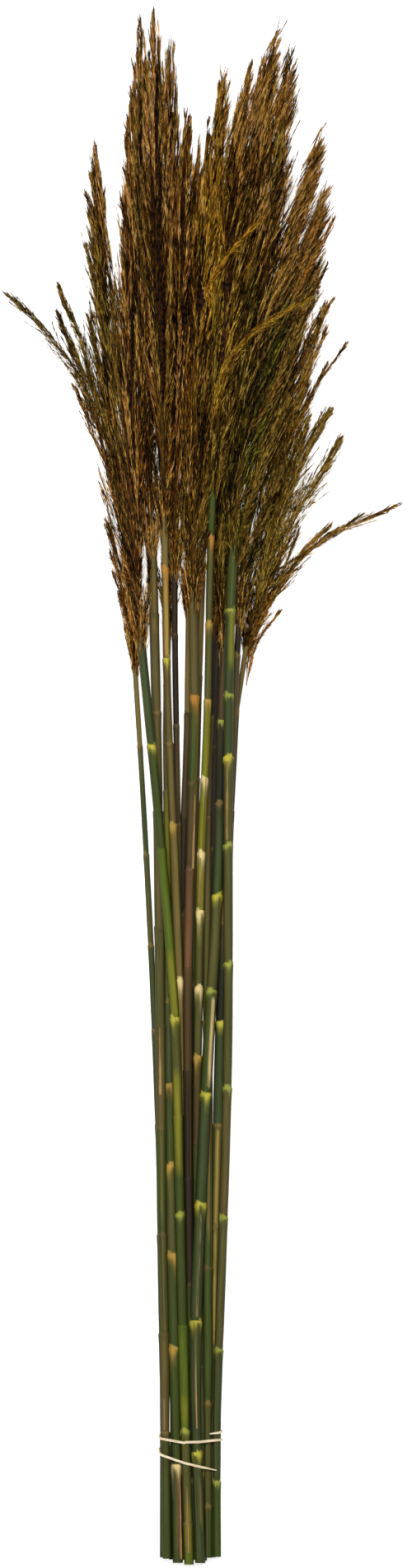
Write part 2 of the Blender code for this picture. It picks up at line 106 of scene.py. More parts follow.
def whole(name, description, value):
    return IntProperty(name=name, description=description, min=1, default=value)


def length(name, description, millimetres):
    return FloatProperty(name=name, description=description, subtype="DISTANCE", unit="LENGTH",
                         min=0.0, precision=5, default=millimetres * MM)


def share(name, description, value):
    return FloatProperty(name=name, description=description, subtype="FACTOR", min=0.0, max=1.0,
                         default=value)


class PlumeLooks(bpy.types.PropertyGroup):
    """What a plume is made of, and its colours."""

    branches: whole("Branches", "Branches of one plume", 58)
    twigs: whole("Twigs", "Twigs of one branch", 9)
    collar: whole("Collar", "Twigs round the foot of a plume", 40)
    spikelets: whole("Spikelets", "Spikelets of one twig", 16)
    spikelet_length: length("Spikelet length", "From its foot to its point", 15.0)
    spikelet_width: length("Spikelet width", "Across its thickest place", 1.0)
    branch_width: length("Branch width", "Across a branch at its foot", 2.0)
    twig_width: length("Twig width", "Across a twig at its foot", 0.7)
    lock_width: share("Lock width", "Share of a plume's radius over which a branch's twigs spread", 0.15)
    flare: length("Flare", "How far a branch tip may stand out of its plume", 6.0)
    umber: colour("Umber", "The darkest strands", 10, 3, 1)
    brown: colour("Brown", "Ordinary strands", 112, 67, 26)
    ochre: colour("Ochre", "Light strands", 190, 123, 48)
    straw: colour("Straw", "The lightest strands", 246, 191, 112)
    gold_shade: colour("Gold in shade", "Golden strands, dark", 34, 17, 2)
    gold: colour("Gold", "Golden strands", 170, 112, 20)
    gold_light: colour("Gold in light", "Golden strands, light", 240, 186, 66)
    olive_shade: colour("Olive in shade", "Greenish strands, dark", 14, 11, 2)
    olive: colour("Olive", "Greenish strands", 100, 92, 27)
    olive_light: colour("Olive in light", "Greenish strands, light", 176, 160, 60)


class StemLooks(bpy.types.PropertyGroup):
    """The colours of the stems."""

    # Night and umber are dark stem colours, partly painted shade where a stem lies in its neighbours'
    # shadow
    night: colour("Night", "The darkest green", 30, 34, 18)
    blue_green: colour("Blue green", "Bloomy green", 57, 66, 34)
    moss: colour("Moss", "Dark yellow green", 59, 69, 26)
    leaf: colour("Leaf", "Fresh green", 79, 93, 24)
    lime: colour("Lime", "Yellow green", 114, 111, 29)
    olive: colour("Olive", "Dull green", 76, 74, 35)
    drab: colour("Drab", "Brownish green", 85, 75, 38)
    tan: colour("Tan", "Dry stem", 108, 92, 47)
    brown: colour("Brown", "Brown stem", 70, 56, 30)
    umber: colour("Umber", "Nearly black brown", 44, 34, 22)
    rose: colour("Rose", "Pinkish brown", 98, 70, 44)
    copper: colour("Copper", "Orange brown", 164, 116, 46)
    gold: colour("Gold", "Golden yellow", 160, 130, 58)
    cream: colour("Cream", "Pale yellow", 212, 190, 128)
    yellow: colour("Yellow", "Clear yellow", 172, 164, 58)
    pale_green: colour("Pale green", "Whitish green", 140, 144, 60)


class DryLooks(bpy.types.PropertyGroup):
    """The colours of the dry sheaths and of the tie."""

    sheath: colour("Sheath", "Papery dry leaf", 164, 136, 84)
    sheath_shade: colour("Sheath in shade", "Its veins", 106, 80, 46)
    raffia: colour("Raffia", "The tie", 240, 226, 196)
    raffia_shade: colour("Raffia in shade", "The tie's fibres", 196, 172, 128)
    curl: length("Curl", "How high a sheath's edges stand over its middle", 0.5)


class StageLooks(bpy.types.PropertyGroup):
    """The floor, the light and the camera."""

    floor: colour("Floor", "A plain pale floor", 244, 244, 243)
    floor_size: length("Floor size", "Side of the floor", 60000.0)
    floor_glow: share("Floor glow", "Light of the floor's own, as over a light table", 0.8)
    lamp_height: length("Lamp height", "The soft lamp over the bunch", 3000.0)
    lamp_power: FloatProperty(name="Lamp power", description="Power of the lamp", unit="POWER",
                              min=0.0, default=105.0)
    sky: share("Sky", "Brightness of the light from all sides", 0.16)
    camera_height: length("Camera height", "Straight above the bunch", 15000.0)
    focus_height: length("Focus height", "Where the picture shows the true size", 45.0)


def looks(name):
    return getattr(bpy.context.scene, "reeds_" + name)


class Wire:
    """An output socket of a material. Arithmetic on it adds Math nodes."""

    def __init__(self, finish, socket):
        self.finish = finish
        self.socket = socket

    def maths(self, operation, *values):
        return self.finish.node("ShaderNodeMath", {"operation": operation},
                                dict(enumerate(values)))

    def __add__(self, other):
        return self.maths("ADD", self, other)

    def __sub__(self, other):
        return self.maths("SUBTRACT", self, other)

    def __rsub__(self, other):
        return self.maths("SUBTRACT", other, self)

    def __mul__(self, other):
        return self.maths("MULTIPLY", self, other)

    __radd__ = __add__
    __rmul__ = __mul__

    def step(self, low, high):
        """Rises smoothly from 0 where this is low to 1 where it is high."""
        return self.finish.node("ShaderNodeMapRange", {"interpolation_type": "SMOOTHSTEP"},
                                {"Value": self, "From Min": low, "From Max": high})


class Finish:
    """A procedural material: a Principled BSDF and the nodes that feed it."""

    def __init__(self, name, roughness, specular):
        self.material = bpy.data.materials.new(name)
        self.material.use_nodes = True
        self.tree = self.material.node_tree
        self.shader = self.tree.nodes["Principled BSDF"]
        self.feed(self.shader.inputs["Roughness"], roughness)
        self.feed(self.shader.inputs["Specular IOR Level"], specular)

    def feed(self, socket, value):
        if isinstance(value, Wire):
            self.tree.links.new(value.socket, socket)
        elif socket.type == "RGBA":
            socket.default_value = (*value[:3], 1.0)
        else:
            socket.default_value = value

    def node(self, kind, settings=None, values=None, output=0):
        """Adds a node: its settings first, then the values or links of its sockets."""
        made = self.tree.nodes.new(kind)
        for key, value in (settings or {}).items():
            if key == "stops":
                elements = made.color_ramp.elements
                while len(elements) < len(value):
                    elements.new(1.0)
                for element, (place, shade) in zip(elements, value):
                    element.position = place
                    element.color = (*shade[:3], 1.0)
            else:
                setattr(made, key, value)
        for key, value in (values or {}).items():
            self.feed(made.inputs[key], value)
        return Wire(self, made.outputs[output])

    def attribute(self, name, output="Fac"):
        return self.node("ShaderNodeAttribute", {"attribute_name": name}, output=output)

    def ramp(self, value, *stops):
        return self.node("ShaderNodeValToRGB", {"stops": stops}, {"Fac": value})

    def mix(self, factor, first, second):
        return self.node("ShaderNodeMix", {"data_type": "RGBA"}, {0: factor, 6: first, 7: second}, 2)

    def noise(self, vector, scale, detail):
        values = {"Vector": vector, "Scale": scale, "Detail": detail}
        return self.node("ShaderNodeTexNoise", {}, values)

    def streaks(self, vector, factors, detail):
        """Noise with a fineness of its own along each axis."""
        scaled = self.node("ShaderNodeVectorMath", {"operation": "MULTIPLY"}, {0: vector, 1: factors})
        return self.noise(scaled, 1.0, detail)

    def shaded(self, base, value):
        """The colour, made darker or lighter by a value round 1."""
        return self.node("ShaderNodeVectorMath", {"operation": "SCALE"}, {0: base, "Scale": value})

    def bump(self, height, distance):
        raised = self.node("ShaderNodeBump", {}, {"Height": height, "Distance": distance})
        self.feed(self.shader.inputs["Normal"], raised)

    def colour(self, value):
        self.feed(self.shader.inputs["Base Color"], value)


def plume_finish():
    """Strands from umber to straw, golden or olive where the locks say so."""
    own = looks("plume")
    finish = Finish("reed_plume_strands", 0.8, 0.06)
    place = finish.node("ShaderNodeTexCoord", output="Object")
    grain = finish.noise(place, 260.0, 1.0)
    # tone: random differences of the strands, with painted shade deep inside, at spikelet feet and under
    # neighbours
    tone = finish.attribute("tone") * 0.9 + grain * 0.3 - 0.12
    brown = finish.ramp(tone, (0.0, own.umber), (0.4, own.brown), (0.75, own.ochre), (1.0, own.straw))
    gold = finish.ramp(tone, (0.0, own.gold_shade), (0.55, own.gold), (1.0, own.gold_light))
    olive = finish.ramp(tone, (0.0, own.olive_shade), (0.55, own.olive), (1.0, own.olive_light))
    warm = finish.mix(finish.attribute("gold"), brown, gold)
    finish.colour(finish.mix(finish.attribute("green"), warm, olive))
    return finish.material


def stem_finish():
    """The stem's tints and painted shade, long fibres, and the seam where its sheath wraps over itself.
    """
    finish = Finish("reed_stem_skin", 0.5, 0.10)
    fibre = finish.attribute("fibre", "Vector")
    tint = finish.attribute("tint", "Color")
    streaks = finish.streaks(fibre, (5.0, 9.0, 5.0), 3.0)
    threads = finish.streaks(fibre, (22.0, 30.0, 22.0), 2.0)
    blotches = finish.streaks(fibre, (1.2, 22.0, 1.2), 2.0)
    around = finish.attribute("around", "Vector")
    parts = finish.node("ShaderNodeSeparateXYZ", {}, {"Vector": around})
    sine = finish.node("ShaderNodeSeparateXYZ", {}, {"Vector": around}, 1)
    angle = parts.maths("ARCTAN2", sine, parts)
    margin = angle.step(-0.16, -0.06) * (1 - angle.step(0.02, 0.08))
    groove = angle.step(0.02, 0.08) * (1 - angle.step(0.12, 0.30))
    light = streaks * 0.95 + threads * 0.85 + blotches * 0.6 - 0.19
    # the groove beside the seam is darkened with painted shade
    shade = light * (1 - groove * 0.45)
    lined = finish.mix(margin * finish.attribute("seam"), tint, looks("stem").tan)
    finish.colour(finish.shaded(lined, shade))
    finish.bump(threads + groove * -1.0 + margin * 0.6, 0.00012)
    return finish.material


def dry_finish(name, light, dark, fineness):
    finish = Finish(name, 0.7, 0.25)
    fibre = finish.attribute("fibre", "Vector")
    veins = finish.streaks(fibre, (fineness, 12.0, fineness), 3.0)
    finish.colour(finish.mix(veins.step(0.35, 0.62), dark, light))
    finish.bump(veins, 0.00015)
    return finish.material


def corners_of(mesh):
    places = np.empty(len(mesh.vertices) * 3, np.float32)
    mesh.vertices.foreach_get("co", places)
    return places.reshape(-1, 3).astype(float)


def write(mesh, name, values):
    """Keeps a number, a vector or a colour of every corner under a name that the materials read."""
    values = values.astype(np.float32).reshape(len(mesh.vertices), -1)
    kind, key = ATTRIBUTES[values.shape[1]]
    mesh.attributes.new(name, kind, "POINT").data.foreach_set(key, values.ravel())


def mesh_of(bm, name):
    """Turns a finished bmesh into a smooth mesh."""
    mesh = bpy.data.meshes.new(name)
    bm.to_mesh(mesh)
    bm.free()
    mesh.shade_smooth()
    return mesh


def grid(columns, rows):
    """A flat grid as a bmesh, and the places of its corners, from -1 to 1 both ways."""
    bm = bmesh.new()
    bmesh.ops.create_grid(bm, x_segments=columns, y_segments=rows, size=1.0)
    return bm, np.array([vert.co[:2] for vert in bm.verts])


def move(bm, corners):
    for vert, corner in zip(bm.verts, corners):
        vert.co = corner


def solid_points(node):
    """The corners of a solid, each once, from its foot to its tip."""
    points = np.unique(np.round(corners_of(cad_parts[node].data), 6), axis=0)
    return points[np.argsort(points[:, 1], kind="stable")]


def solid_rings(node, sides):
    """The solid's sections of that many corners, each in order round its middle."""
    points = solid_points(node)
    cuts = np.flatnonzero(np.diff(points[:, 1]) > SAME_LEVEL) + 1
    rings = []
    for section in np.split(points, cuts):
        if len(section) == sides:
            middle = section.mean(axis=0)
            turn = np.arctan2(section[:, 2] - middle[2], section[:, 0] - middle[0])
            rings.append(section[np.argsort(turn)])
    return np.array(rings)


def unit(vectors):
    return vectors / np.maximum(np.linalg.norm(vectors, axis=-1, keepdims=True), 1e-9)


def held(values):
    """Kept from 0 to 1."""
    return np.clip(values, 0.0, 1.0)


def blend(first, second, share):
    return first * (1 - share) + second * share


def towards(turns):
    """Steps of length 1 in those directions."""
    return np.stack((np.cos(turns), np.sin(turns)), axis=-1)


def line_at(y, levels, points):
    """Where the line through the points is at y."""
    return np.stack([np.interp(y, levels, column) for column in points.T], axis=-1)


class Shape(NamedTuple):
    """The corners and faces of a small form that is repeated many times."""

    corners: np.ndarray
    faces: list

    @property
    def rings(self):
        """The ring of a tube that each corner is on."""
        return np.round(self.corners[:, 2]).astype(int)


def shape_of(bm):
    """Keeps a finished bmesh as corners and faces."""
    bmesh.ops.recalc_face_normals(bm, faces=bm.faces[:])
    bm.verts.index_update()
    corners = np.array([vert.co[:] for vert in bm.verts])
    faces = [[vert.index for vert in face.verts] for face in bm.faces]
    bm.free()
    return Shape(corners, faces)


def spikelet_shape():
    """A slender closed grain with a ridge, from (0, 0, 0) to (0, 1, 0), one unit to either side."""
    bm = bmesh.new()
    for place in ((0.0, 0.0, 0.0), (0.0, 1.0, 0.0), (-1.0, 0.4, -0.7), (1.0, 0.4, -0.7)):
        bm.verts.new(place)
    bmesh.ops.convex_hull(bm, input=bm.verts[:])
    return shape_of(bm)


def tube_shape(sides, rings):
    """A closed tube along +Z, 1 in radius, with rings 1 apart."""
    bm = bmesh.new()
    bmesh.ops.create_circle(bm, cap_ends=True, radius=1.0, segments=sides)
    bm.faces.ensure_lookup_table()
    cap = bm.faces[0]
    grown = bmesh.ops.extrude_face_region(bm, geom=[cap], use_keep_orig=True)["geom"]
    cap = next(item for item in grown if isinstance(item, bmesh.types.BMFace))
    for number in range(1, rings):
        if number > 1:
            cap = bmesh.ops.extrude_discrete_faces(bm, faces=[cap])["faces"][0]
        for vert in cap.verts:
            vert.co.z = number
    return shape_of(bm)


class Heap:
    """Gathers copies of small forms, with their numbers, for one joined mesh."""

    def __init__(self):
        self.corners = []
        self.faces = []
        self.numbers = {"tone": [], "gold": [], "green": []}
        self.count = 0

    def add(self, shape, corners, **numbers):
        """Copies of the shape: corners (n, corners of the shape, 3), and numbers for each copy or
        for each of its corners."""
        copies, size = corners.shape[:2]
        first = self.count + np.arange(copies) * size
        for face in shape.faces:
            self.faces.append(first[:, None] + np.array(face))
        self.corners.append(corners.reshape(-1, 3))
        for name, kept in self.numbers.items():
            given = np.reshape(numbers[name], (copies, -1))
            kept.append(np.broadcast_to(given, (copies, size)).ravel())
        self.count += copies * size

    def tubes(self, sides, paths, widths, **numbers):
        """Tapering tubes along many paths at once: paths (n, k, 3), widths (k)."""
        shape = tube_shape(sides, paths.shape[1])
        ahead = unit(np.gradient(paths, axis=1))
        side = unit(np.cross(ahead, TUBE_UP))
        over = np.cross(side, ahead)
        half = widths[shape.rings, None] / 2
        corners = (paths[:, shape.rings] + side[:, shape.rings] * shape.corners[None, :, 0, None] * half
                   + over[:, shape.rings] * shape.corners[None, :, 1, None] * half)
        self.add(shape, corners, **numbers)

    def mesh(self, name):
        """One mesh of all that was added, none of it under the surface that it lies on."""
        corners = np.concatenate(self.corners)
        corners[:, 2] = np.maximum(corners[:, 2], LOWEST)
        sizes = np.concatenate([np.full(len(part), part.shape[1]) for part in self.faces])
        loops = np.concatenate([part.ravel() for part in self.faces])
        mesh = bpy.data.meshes.new(name)
        mesh.vertices.add(len(corners))
        mesh.vertices.foreach_set("co", corners.astype(np.float32).ravel())
        mesh.loops.add(len(loops))
        mesh.loops.foreach_set("vertex_index", loops.astype(np.int32))
        mesh.polygons.add(len(sizes))
        mesh.polygons.foreach_set("loop_start", (np.cumsum(sizes) - sizes).astype(np.int32))
        mesh.update(calc_edges=True)
        for key, kept in self.numbers.items():
            write(mesh, key, np.concatenate(kept))
        return mesh


def added(name, data):
    """A new object of the scene with that mesh, lamp or camera."""
    made = bpy.data.objects.new(name, data)
    bpy.context.scene.collection.objects.link(made)
    return made


def show(name, mesh, material, slot, *nodes):
    """Puts a finished mesh in the scene in place of its solids."""
    mesh.materials.append(material)
    piece = added(name, mesh)
    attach(piece, "root")
    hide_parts(*nodes)


# Where plumes are golden or olive: column, row, half-width and half-height in pixels, strength
GOLDEN = ((262, 300, 32, 190, 1.0), (300, 250, 26, 120, 0.35), (215, 420, 40, 160, 0.35),
          (238, 540, 24, 110, 0.6))
GREENISH = ((305, 590, 44, 130, 1.0), (118, 360, 16, 90, 0.5), (250, 640, 26, 90, 0.45),
            (345, 640, 44, 100, 0.9), (92, 450, 42, 75, 1.0), (320, 450, 46, 100, 0.6))

# Where the plumes' neighbours shade them
SHADED = ((192, 610, 24, 95, 0.8), (232, 380, 8, 60, 0.6), (196, 330, 6, 70, 0.4),
          (300, 640, 8, 60, 0.6), (290, 260, 6, 60, 0.5), (322, 690, 30, 60, 0.35),
          (310, 560, 40, 110, 0.12), (112, 330, 24, 130, 0.18))

# Brushes that stand away from their plumes, each as its width in pixels, then column, row and
# height in millimetres of each place along it
STRAYS = {
    "01": """
        7 112 500 16 98 462 18 83 437 20 66 414 21 25 372 22 1 350 22;
        8 112 478 22 104 430 26 92 398 30 80 372 33 68 336 36;
        6 108 492 12 96 446 12 84 415 12 70 383 12; 6 100 452 20 84 414 22 66 371 24;
        5 118 540 16 104 498 15 86 463 14; 4 124 500 20 112 470 22 104 436 22;
        4 118 430 22 110 400 23 105 378 23; 4 116 350 18 109 320 18 102 289 18;
        3 112 262 16 107 244 16 102 229 15; 3 114 236 20 110 218 20 106 203 19;
        3 136 660 22 132 642 24 127 627 24; 3 144 700 20 138 684 21 132 664 21;
        3 150 730 20 142 710 21 135 690 21; 3 154 750 18 148 734 19 141 715 19;
        4 134 590 24 128 560 25 122 528 25; 4 130 560 18 120 520 18 112 488 18
    """,
    "16": """
        6 312 756 22 330 728 22 350 697 24 375 668 26 400 649 26 440 632 25 493 610 24;
        6 330 726 27 350 694 28 372 664 28 408 632 29; 2 404 648 26 425 634 27 447 619 28;
        3 312 776 20 328 757 22 344 738 24; 3 334 716 24 350 680 26 365 637 27;
        4 318 740 28 330 704 30 344 658 31; 3 318 750 30 326 732 32 335 714 32;
        15 318 725 26 334 680 26 352 638 25 374 596 25 398 560 25 421 524 25;
        14 322 680 34 338 630 35 354 586 35 370 548 34 390 515 32 406 490 30;
        8 344 600 34 360 552 34 378 499 33; 4 350 590 20 366 560 20 384 530 20 396 512 20;
        3 362 512 23 376 483 24 398 450 25 424 411 26; 3 372 490 25 386 462 26 402 436 26;
        6 350 520 28 362 480 28 374 440 28 386 400 28 398 358 28;
        5 360 500 22 374 455 24 388 418 25 399 391 26; 4 376 420 24 388 392 26 408 355 27;
        3 376 370 18 386 345 20 400 315 21; 4 372 330 24 382 300 24 392 268 24;
        3 388 300 20 398 280 21 408 259 22
    """,
    "15": """
        5 352 270 44 364 240 46 376 212 46 388 182 46; 4 362 262 50 376 232 51 392 205 51;
        5 372 300 46 384 272 46 397 246 45; 6 352 370 52 366 338 54 388 302 54;
        6 345 430 56 358 398 58 373 362 58
    """,
    "14": """
        7 318 560 76 336 520 80 352 476 80; 8 312 640 74 332 590 78 348 540 78;
        7 330 480 84 344 440 86 356 404 86; 6 322 380 84 334 350 86 346 318 86;
        6 300 620 74 312 580 78 322 540 80
    """,
    "03": """
        4 166 330 46 156 290 46 149 252 44; 4 160 300 40 152 265 40 146 236 38;
        3 150 480 44 143 440 44 138 405 42
    """,
    "05": """
        8 202 330 20 199 260 24 197 196 26
    """,
    "06": """
        8 218 340 40 216 270 42 214 200 42
    """,
    "07": """
        10 233 420 22 231 340 26 231 250 28; 8 236 380 30 233 300 32 229 236 33
    """,
    "10": """
        5 262 470 96 278 440 102 297 412 106 330 390 108 360 374 106 383 360 102;
        4 250 352 98 268 325 104 290 296 106 325 262 104
    """,
}
STRAY_ROOT = 0.045  # how far below its first place a brush leaves the plume's axis
STRAY_END = 0.0045  # its stalk stops so far before its tip
STRAY_STOPS = 14
STRAY_TAPER = (0.5, 0.15)  # its stalk's width, against a branch's
STRAY_TWIGS = (0.10, 0.045)  # twigs for each millimetre: of any brush, and for each pixel of width
STRAY_LAST = 0.94  # where the last of them starts
STRAY_TWIG = (0.018, 0.040)  # their length
STRAY_GIRTH = ((0.0, 0.3, 0.75, 1.0), (0.3, 0.9, 1.0, 0.25))  # a brush's outline
STRAY_WIDER = (1.5, 0.5)  # against its width in pixels, and how many pixels more
STRAY_STARTS = 0.6  # the share of that width over which its twigs start
STRAY_SPREAD = (0.4, (1.2, 3.0))  # the share of twigs that stand out further, and how far
STRAY_SPIKELETS = 11
STRAY_SIZE = 0.7  # the size of their spikelets
STRAY_SPLAY = 15.0
STRAY_TONE = (0.45, 0.75, 0.0)  # darkest, lightest, how golden at least
STRAY_TONES = {"01": (0.25, 0.5, 0.0), "10": (0.72, 0.85, 1.0)}
STRAY_VARIES = 0.22
STRAY_GREEN = 0.6
PLUME_TONES = {"01": 0.5}  # how much lighter a plume is at its foot than at its tip
SHADE_CORE_SIDES = 8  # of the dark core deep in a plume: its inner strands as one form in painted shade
SHADE_CORE_WIDTH = 0.42  # against the plume's own width
SHADE_CORE_REACH = (0.14, 0.86)  # from where to where along the plume
AXIS_STOPS = 14  # along the dark core, and along the stem's end inside the plume
AXIS_END = 0.97
AXIS_WIDTH = (0.006, 0.001)
PLUME_SIDES = 10  # of one section of the solid
DIRECTIONS = 72  # directions in which a plume's space is measured
TOP_SHARE = 0.99  # the share of a plume's length that its twigs reach
TOP_SPREAD = 0.15  # how much lower some of them end, which makes a pointed tip
TOP_CALM = 0.3  # how much closer twigs and spikelets lie near a plume's tip
FAN = 2.7  # a twig's lean for each metre from the middle, in radians
FAN_MIDDLE = across(205)
GOLDEN_ANGLE = 2.39996
LAST_START = 0.9  # where the highest branch leaves the axis
CROWDING = 1.1  # over 1 where low branches are closer together
SPANS = ((0.0, 0.1, 0.86), (0.16, 0.34, 0.12))  # share of the plume that a branch follows, by its start
SPAN_VARIES = (0.7, 1.2)
TURN_VARIES = 0.35
DRIFT = 0.32  # how far a branch turns round the axis on its way
OUTER = (0.76, (0.85, 1.2), (0.3, 0.75))  # share near the surface, how far out it is, and the rest
WILD = (0.3, (1.2, 1.8))  # share of outer, low branches that stand out, and how far
WILD_WHERE = (0.8, 0.62)  # further out and lower than this
BRANCH_RISE = 1.8  # how fast a branch leaves the axis
LOCK_END = (1.2, 0.45)  # where a lock comes to its point, and over how much of its branch
BRANCH_STOPS = np.linspace(0.0, 1.0, 9)
BRANCH_TAPER = 0.35
TWIG_STOPS = np.linspace(0.0, 1.0, 3)
TWIG_STARTS = (0.86, 0.02)  # the part of a branch that has twigs, and where it begins
TWIG_ENDS = ((0.3, 0.6), (0.94, 1.1))  # beyond its start, and on its branch at most
TWIG_BOW = 0.001
TWIG_TAPER = 0.25
BRISTLE = (0.28, (0.1, 0.7))  # the share of twigs that bristle, and how far
TWIG_SPLAY = 8.5  # how many degrees spikelets stand off
SIDE_SPLAY = 8.0  # how many more at the sides of the bunch
SIDE_FROM = 0.085  # where the sides begin, from the middle
FOOT_SPLAY = 8.0  # how many more near a plume's foot
FOOT_PART = 0.45  # of its length
COLLAR_FOOT = 0.03  # how far from the plume's foot its twigs start, as a share of its length
COLLAR_LENGTH = (0.05, 0.11)
COLLAR_OUT = (1.04, (-0.05, 0.9))  # how far out they start, and how much further they end
COLLAR_SPLAY = 11.0
COLLAR_SIZE = 0.75
SPIKELET_POINT = (1.15, 0.65)  # their size at a twig's foot, and how much smaller at its tip
SPIKELET_LONG = (0.6, 1.3)
SPIKELET_WIDE = (0.7, 1.2)
SPIKELET_OUT = 0.6  # of half their width, from the twig
BRANCH_TONE = 0.20  # how much strands differ in brightness, from 0 dark to 1 light
TWIG_TONE = 0.48
TONE_REACH = (-0.3, 1.15)  # past 0 and 1, so that nearly all spikelets of such a twig are alike
SPIKELET_TONE = 0.3
SPIKELET_ENDS = (-0.08, 0.06)  # their tone at the foot and at the point, the darker foot being painted shade
STALK_TONE = 0.3
# painted shade: how much darker the twigs that end deep inside a plume are
INNER_SHADE = -0.85
TOP_TONE = 0.47
GOLD_VARIES = 0.15
GREEN_VARIES = 0.22


class Room:
    """The space of one plume, measured on its solid: how far it reaches in each direction."""

    def __init__(self, node):
        rings = solid_rings(node, PLUME_SIDES)
        tip = solid_points(node)[-1]
        turns = np.linspace(-pi, pi, DIRECTIONS + 1)
        self.levels = np.append(rings[:, 0, 1], tip[1])
        self.middles = []
        self.reach = []
        for ring in rings:
            flat = ring[:, (0, 2)]
            half = PLUME_SIDES // 2
            lines = flat[half:] - flat[:half]
            normals = np.stack((lines[:, 1], -lines[:, 0]), axis=1)
            middle = np.linalg.lstsq(normals, (normals * flat[:half]).sum(axis=1), rcond=None)[0]
            spokes = flat - middle
            turned = np.arctan2(spokes[:, 1], spokes[:, 0])
            spokes = spokes[np.argsort(turned)]
            turned = np.sort(turned)
            after = np.searchsorted(turned, turns) % PLUME_SIDES
            start, end = spokes[after - 1], spokes[after]
            edge = end - start
            ways = towards(turns)
            reach = ((start[:, 0] * edge[:, 1] - start[:, 1] * edge[:, 0])
                     / (ways[:, 0] * edge[:, 1] - ways[:, 1] * edge[:, 0]))
            self.middles.append(middle)
            self.reach.append(reach)
        self.middles = np.array(self.middles + [tip[[0, 2]]])
        self.reach = np.array(self.reach + [np.zeros(DIRECTIONS + 1)])

    def axis(self, y):
        """The plume's middle at that level."""
        x, z = line_at(y, self.levels, self.middles)
        return x, y, z

    def place(self, shares, ways, flare):
        """Points at shares of the plume's length. The ways (…, 2) are sideways and up, where 1 is
        the plume's own surface. What lies further out flares by that much."""
        y = self.levels[0] + (self.levels[-1] - self.levels[0]) * np.minimum(shares, TOP_SHARE)
        out = np.linalg.norm(ways, axis=-1)
        turn = (np.arctan2(ways[..., 1], ways[..., 0]) + pi) / (2 * pi) * DIRECTIONS
        row = np.clip(np.searchsorted(self.levels, y) - 1, 0, len(self.levels) - 2)
        up = held((y - self.levels[row]) / (self.levels[row + 1] - self.levels[row]))
        column = np.clip(turn.astype(int), 0, DIRECTIONS - 1)
        over = turn - column
        low, high = (blend(self.reach[level, column], self.reach[level, column + 1], over)
                     for level in (row, row + 1))
        middle = blend(self.middles[row], self.middles[row + 1], up[..., None])
        far = blend(low, high, up) * np.minimum(out, 1.0) + flare * np.maximum(out - 1.0, 0.0)
        flat = middle + ways / np.maximum(out, 1e-6)[..., None] * far[..., None]
        return np.stack((flat[..., 0], y, flat[..., 1]), axis=-1)


def zone(points, places):
    """How strongly the picture's zones colour each point, from 0 to 1."""
    found = np.zeros(len(points))
    for column, row, wide, high, strength in places:
        far = (((points[:, 0] - across(column)) / (wide * PIXEL)) ** 2
               + ((points[:, 1] - along(row)) / (high * PIXEL)) ** 2)
        found = np.maximum(found, strength * np.exp(-far))
    return found


def fanned(ends):
    """Turns twigs outwards, more so the further they are from the middle of the bunch."""
    long = np.linalg.norm(ends[:, 1] - ends[:, 0], axis=1, keepdims=True)
    lean = (ends[..., :1].mean(axis=1) - FAN_MIDDLE) * FAN * long / 2
    ends[:, 0, :1] -= lean
    ends[:, 1, :1] += lean
    return ends


def straight(ends):
    """Twigs between pairs of places, a little bowed outwards."""
    stops = TWIG_STOPS[None, :, None]
    twigs = blend(ends[:, :1], ends[:, 1:], stops)
    twigs[..., 2] += TWIG_BOW * np.sin(stops[..., 0] * pi)
    return twigs


def dress_twigs(heap, twigs, tones, gold, green, chance, splay, size=1.0, count=None):
    """A thread along each twig (n, stops, 3), and spikelets all over it that stand off by the splay
    in degrees."""
    own = looks("plume")
    heap.tubes(3, twigs, own.twig_width * np.linspace(1.0, TWIG_TAPER, twigs.shape[1]),
               tone=held(tones), gold=gold, green=green)
    grain = spikelet_shape()
    count = count or own.spikelets
    where = (np.arange(count) + chance.random((len(twigs), count))) / count
    point = (SPIKELET_POINT[0] - SPIKELET_POINT[1] * where).ravel()
    spot = where * (twigs.shape[1] - 1)
    before = np.minimum(spot.astype(int), twigs.shape[1] - 2)
    part = (spot - before)[..., None]
    number = np.arange(len(twigs))[:, None]
    start = twigs[number, before]
    end = twigs[number, before + 1]
    foot = blend(start, end, part).reshape(-1, 3)
    ahead = unit(end - start).reshape(-1, 3)
    aside = unit(np.cross(ahead, unit(chance.normal(size=ahead.shape))))
    splay = np.broadcast_to(np.radians(splay), where.shape).ravel()
    turned = splay * np.abs(chance.normal(size=len(foot))) * point
    heading = unit(ahead * np.cos(turned)[:, None] + aside * np.sin(turned)[:, None])
    side = unit(np.cross(heading, aside))
    over = np.cross(side, heading)
    long = own.spikelet_length * size * chance.uniform(*SPIKELET_LONG, len(foot)) * point
    wide = own.spikelet_width / 2 * chance.uniform(*SPIKELET_WIDE, len(foot))
    foot = foot + aside * wide[:, None] * SPIKELET_OUT
    corners = (foot[:, None] + heading[:, None] * grain.corners[None, :, 1, None] * long[:, None, None]
               + side[:, None] * grain.corners[None, :, 0, None] * wide[:, None, None]
               + over[:, None] * grain.corners[None, :, 2, None] * wide[:, None, None])
    fine = np.repeat(tones, count) + chance.normal(0.0, SPIKELET_TONE, len(foot))
    # each spikelet is darker at its foot: painted shade
    foot_tone, point_tone = SPIKELET_ENDS
    rise = foot_tone + (point_tone - foot_tone) * grain.corners[None, :, 1]
    heap.add(grain, corners, tone=held(fine[:, None] + rise),
             gold=np.repeat(gold, count), green=np.repeat(green, count))


def smooth_route(points):
    """Evenly spaced places on a smooth curve through the points, which stop before its end."""
    points = np.asarray(points, float)
    steps = np.append(0.0, np.cumsum(np.linalg.norm(np.diff(points, axis=0), axis=1)))
    slopes = np.gradient(points, steps, axis=0)
    at = np.linspace(0.0, steps[-1] - STRAY_END, STRAY_STOPS)
    piece = np.clip(np.searchsorted(steps, at) - 1, 0, len(steps) - 2)
    span = (steps[piece + 1] - steps[piece])[:, None]
    t = (at - steps[piece])[:, None] / span
    return (points[piece] * (1 + 2 * t) * (1 - t) ** 2 + points[piece + 1] * t ** 2 * (3 - 2 * t)
            + slopes[piece] * span * t * (1 - t) ** 2 - slopes[piece + 1] * span * t ** 2 * (1 - t))


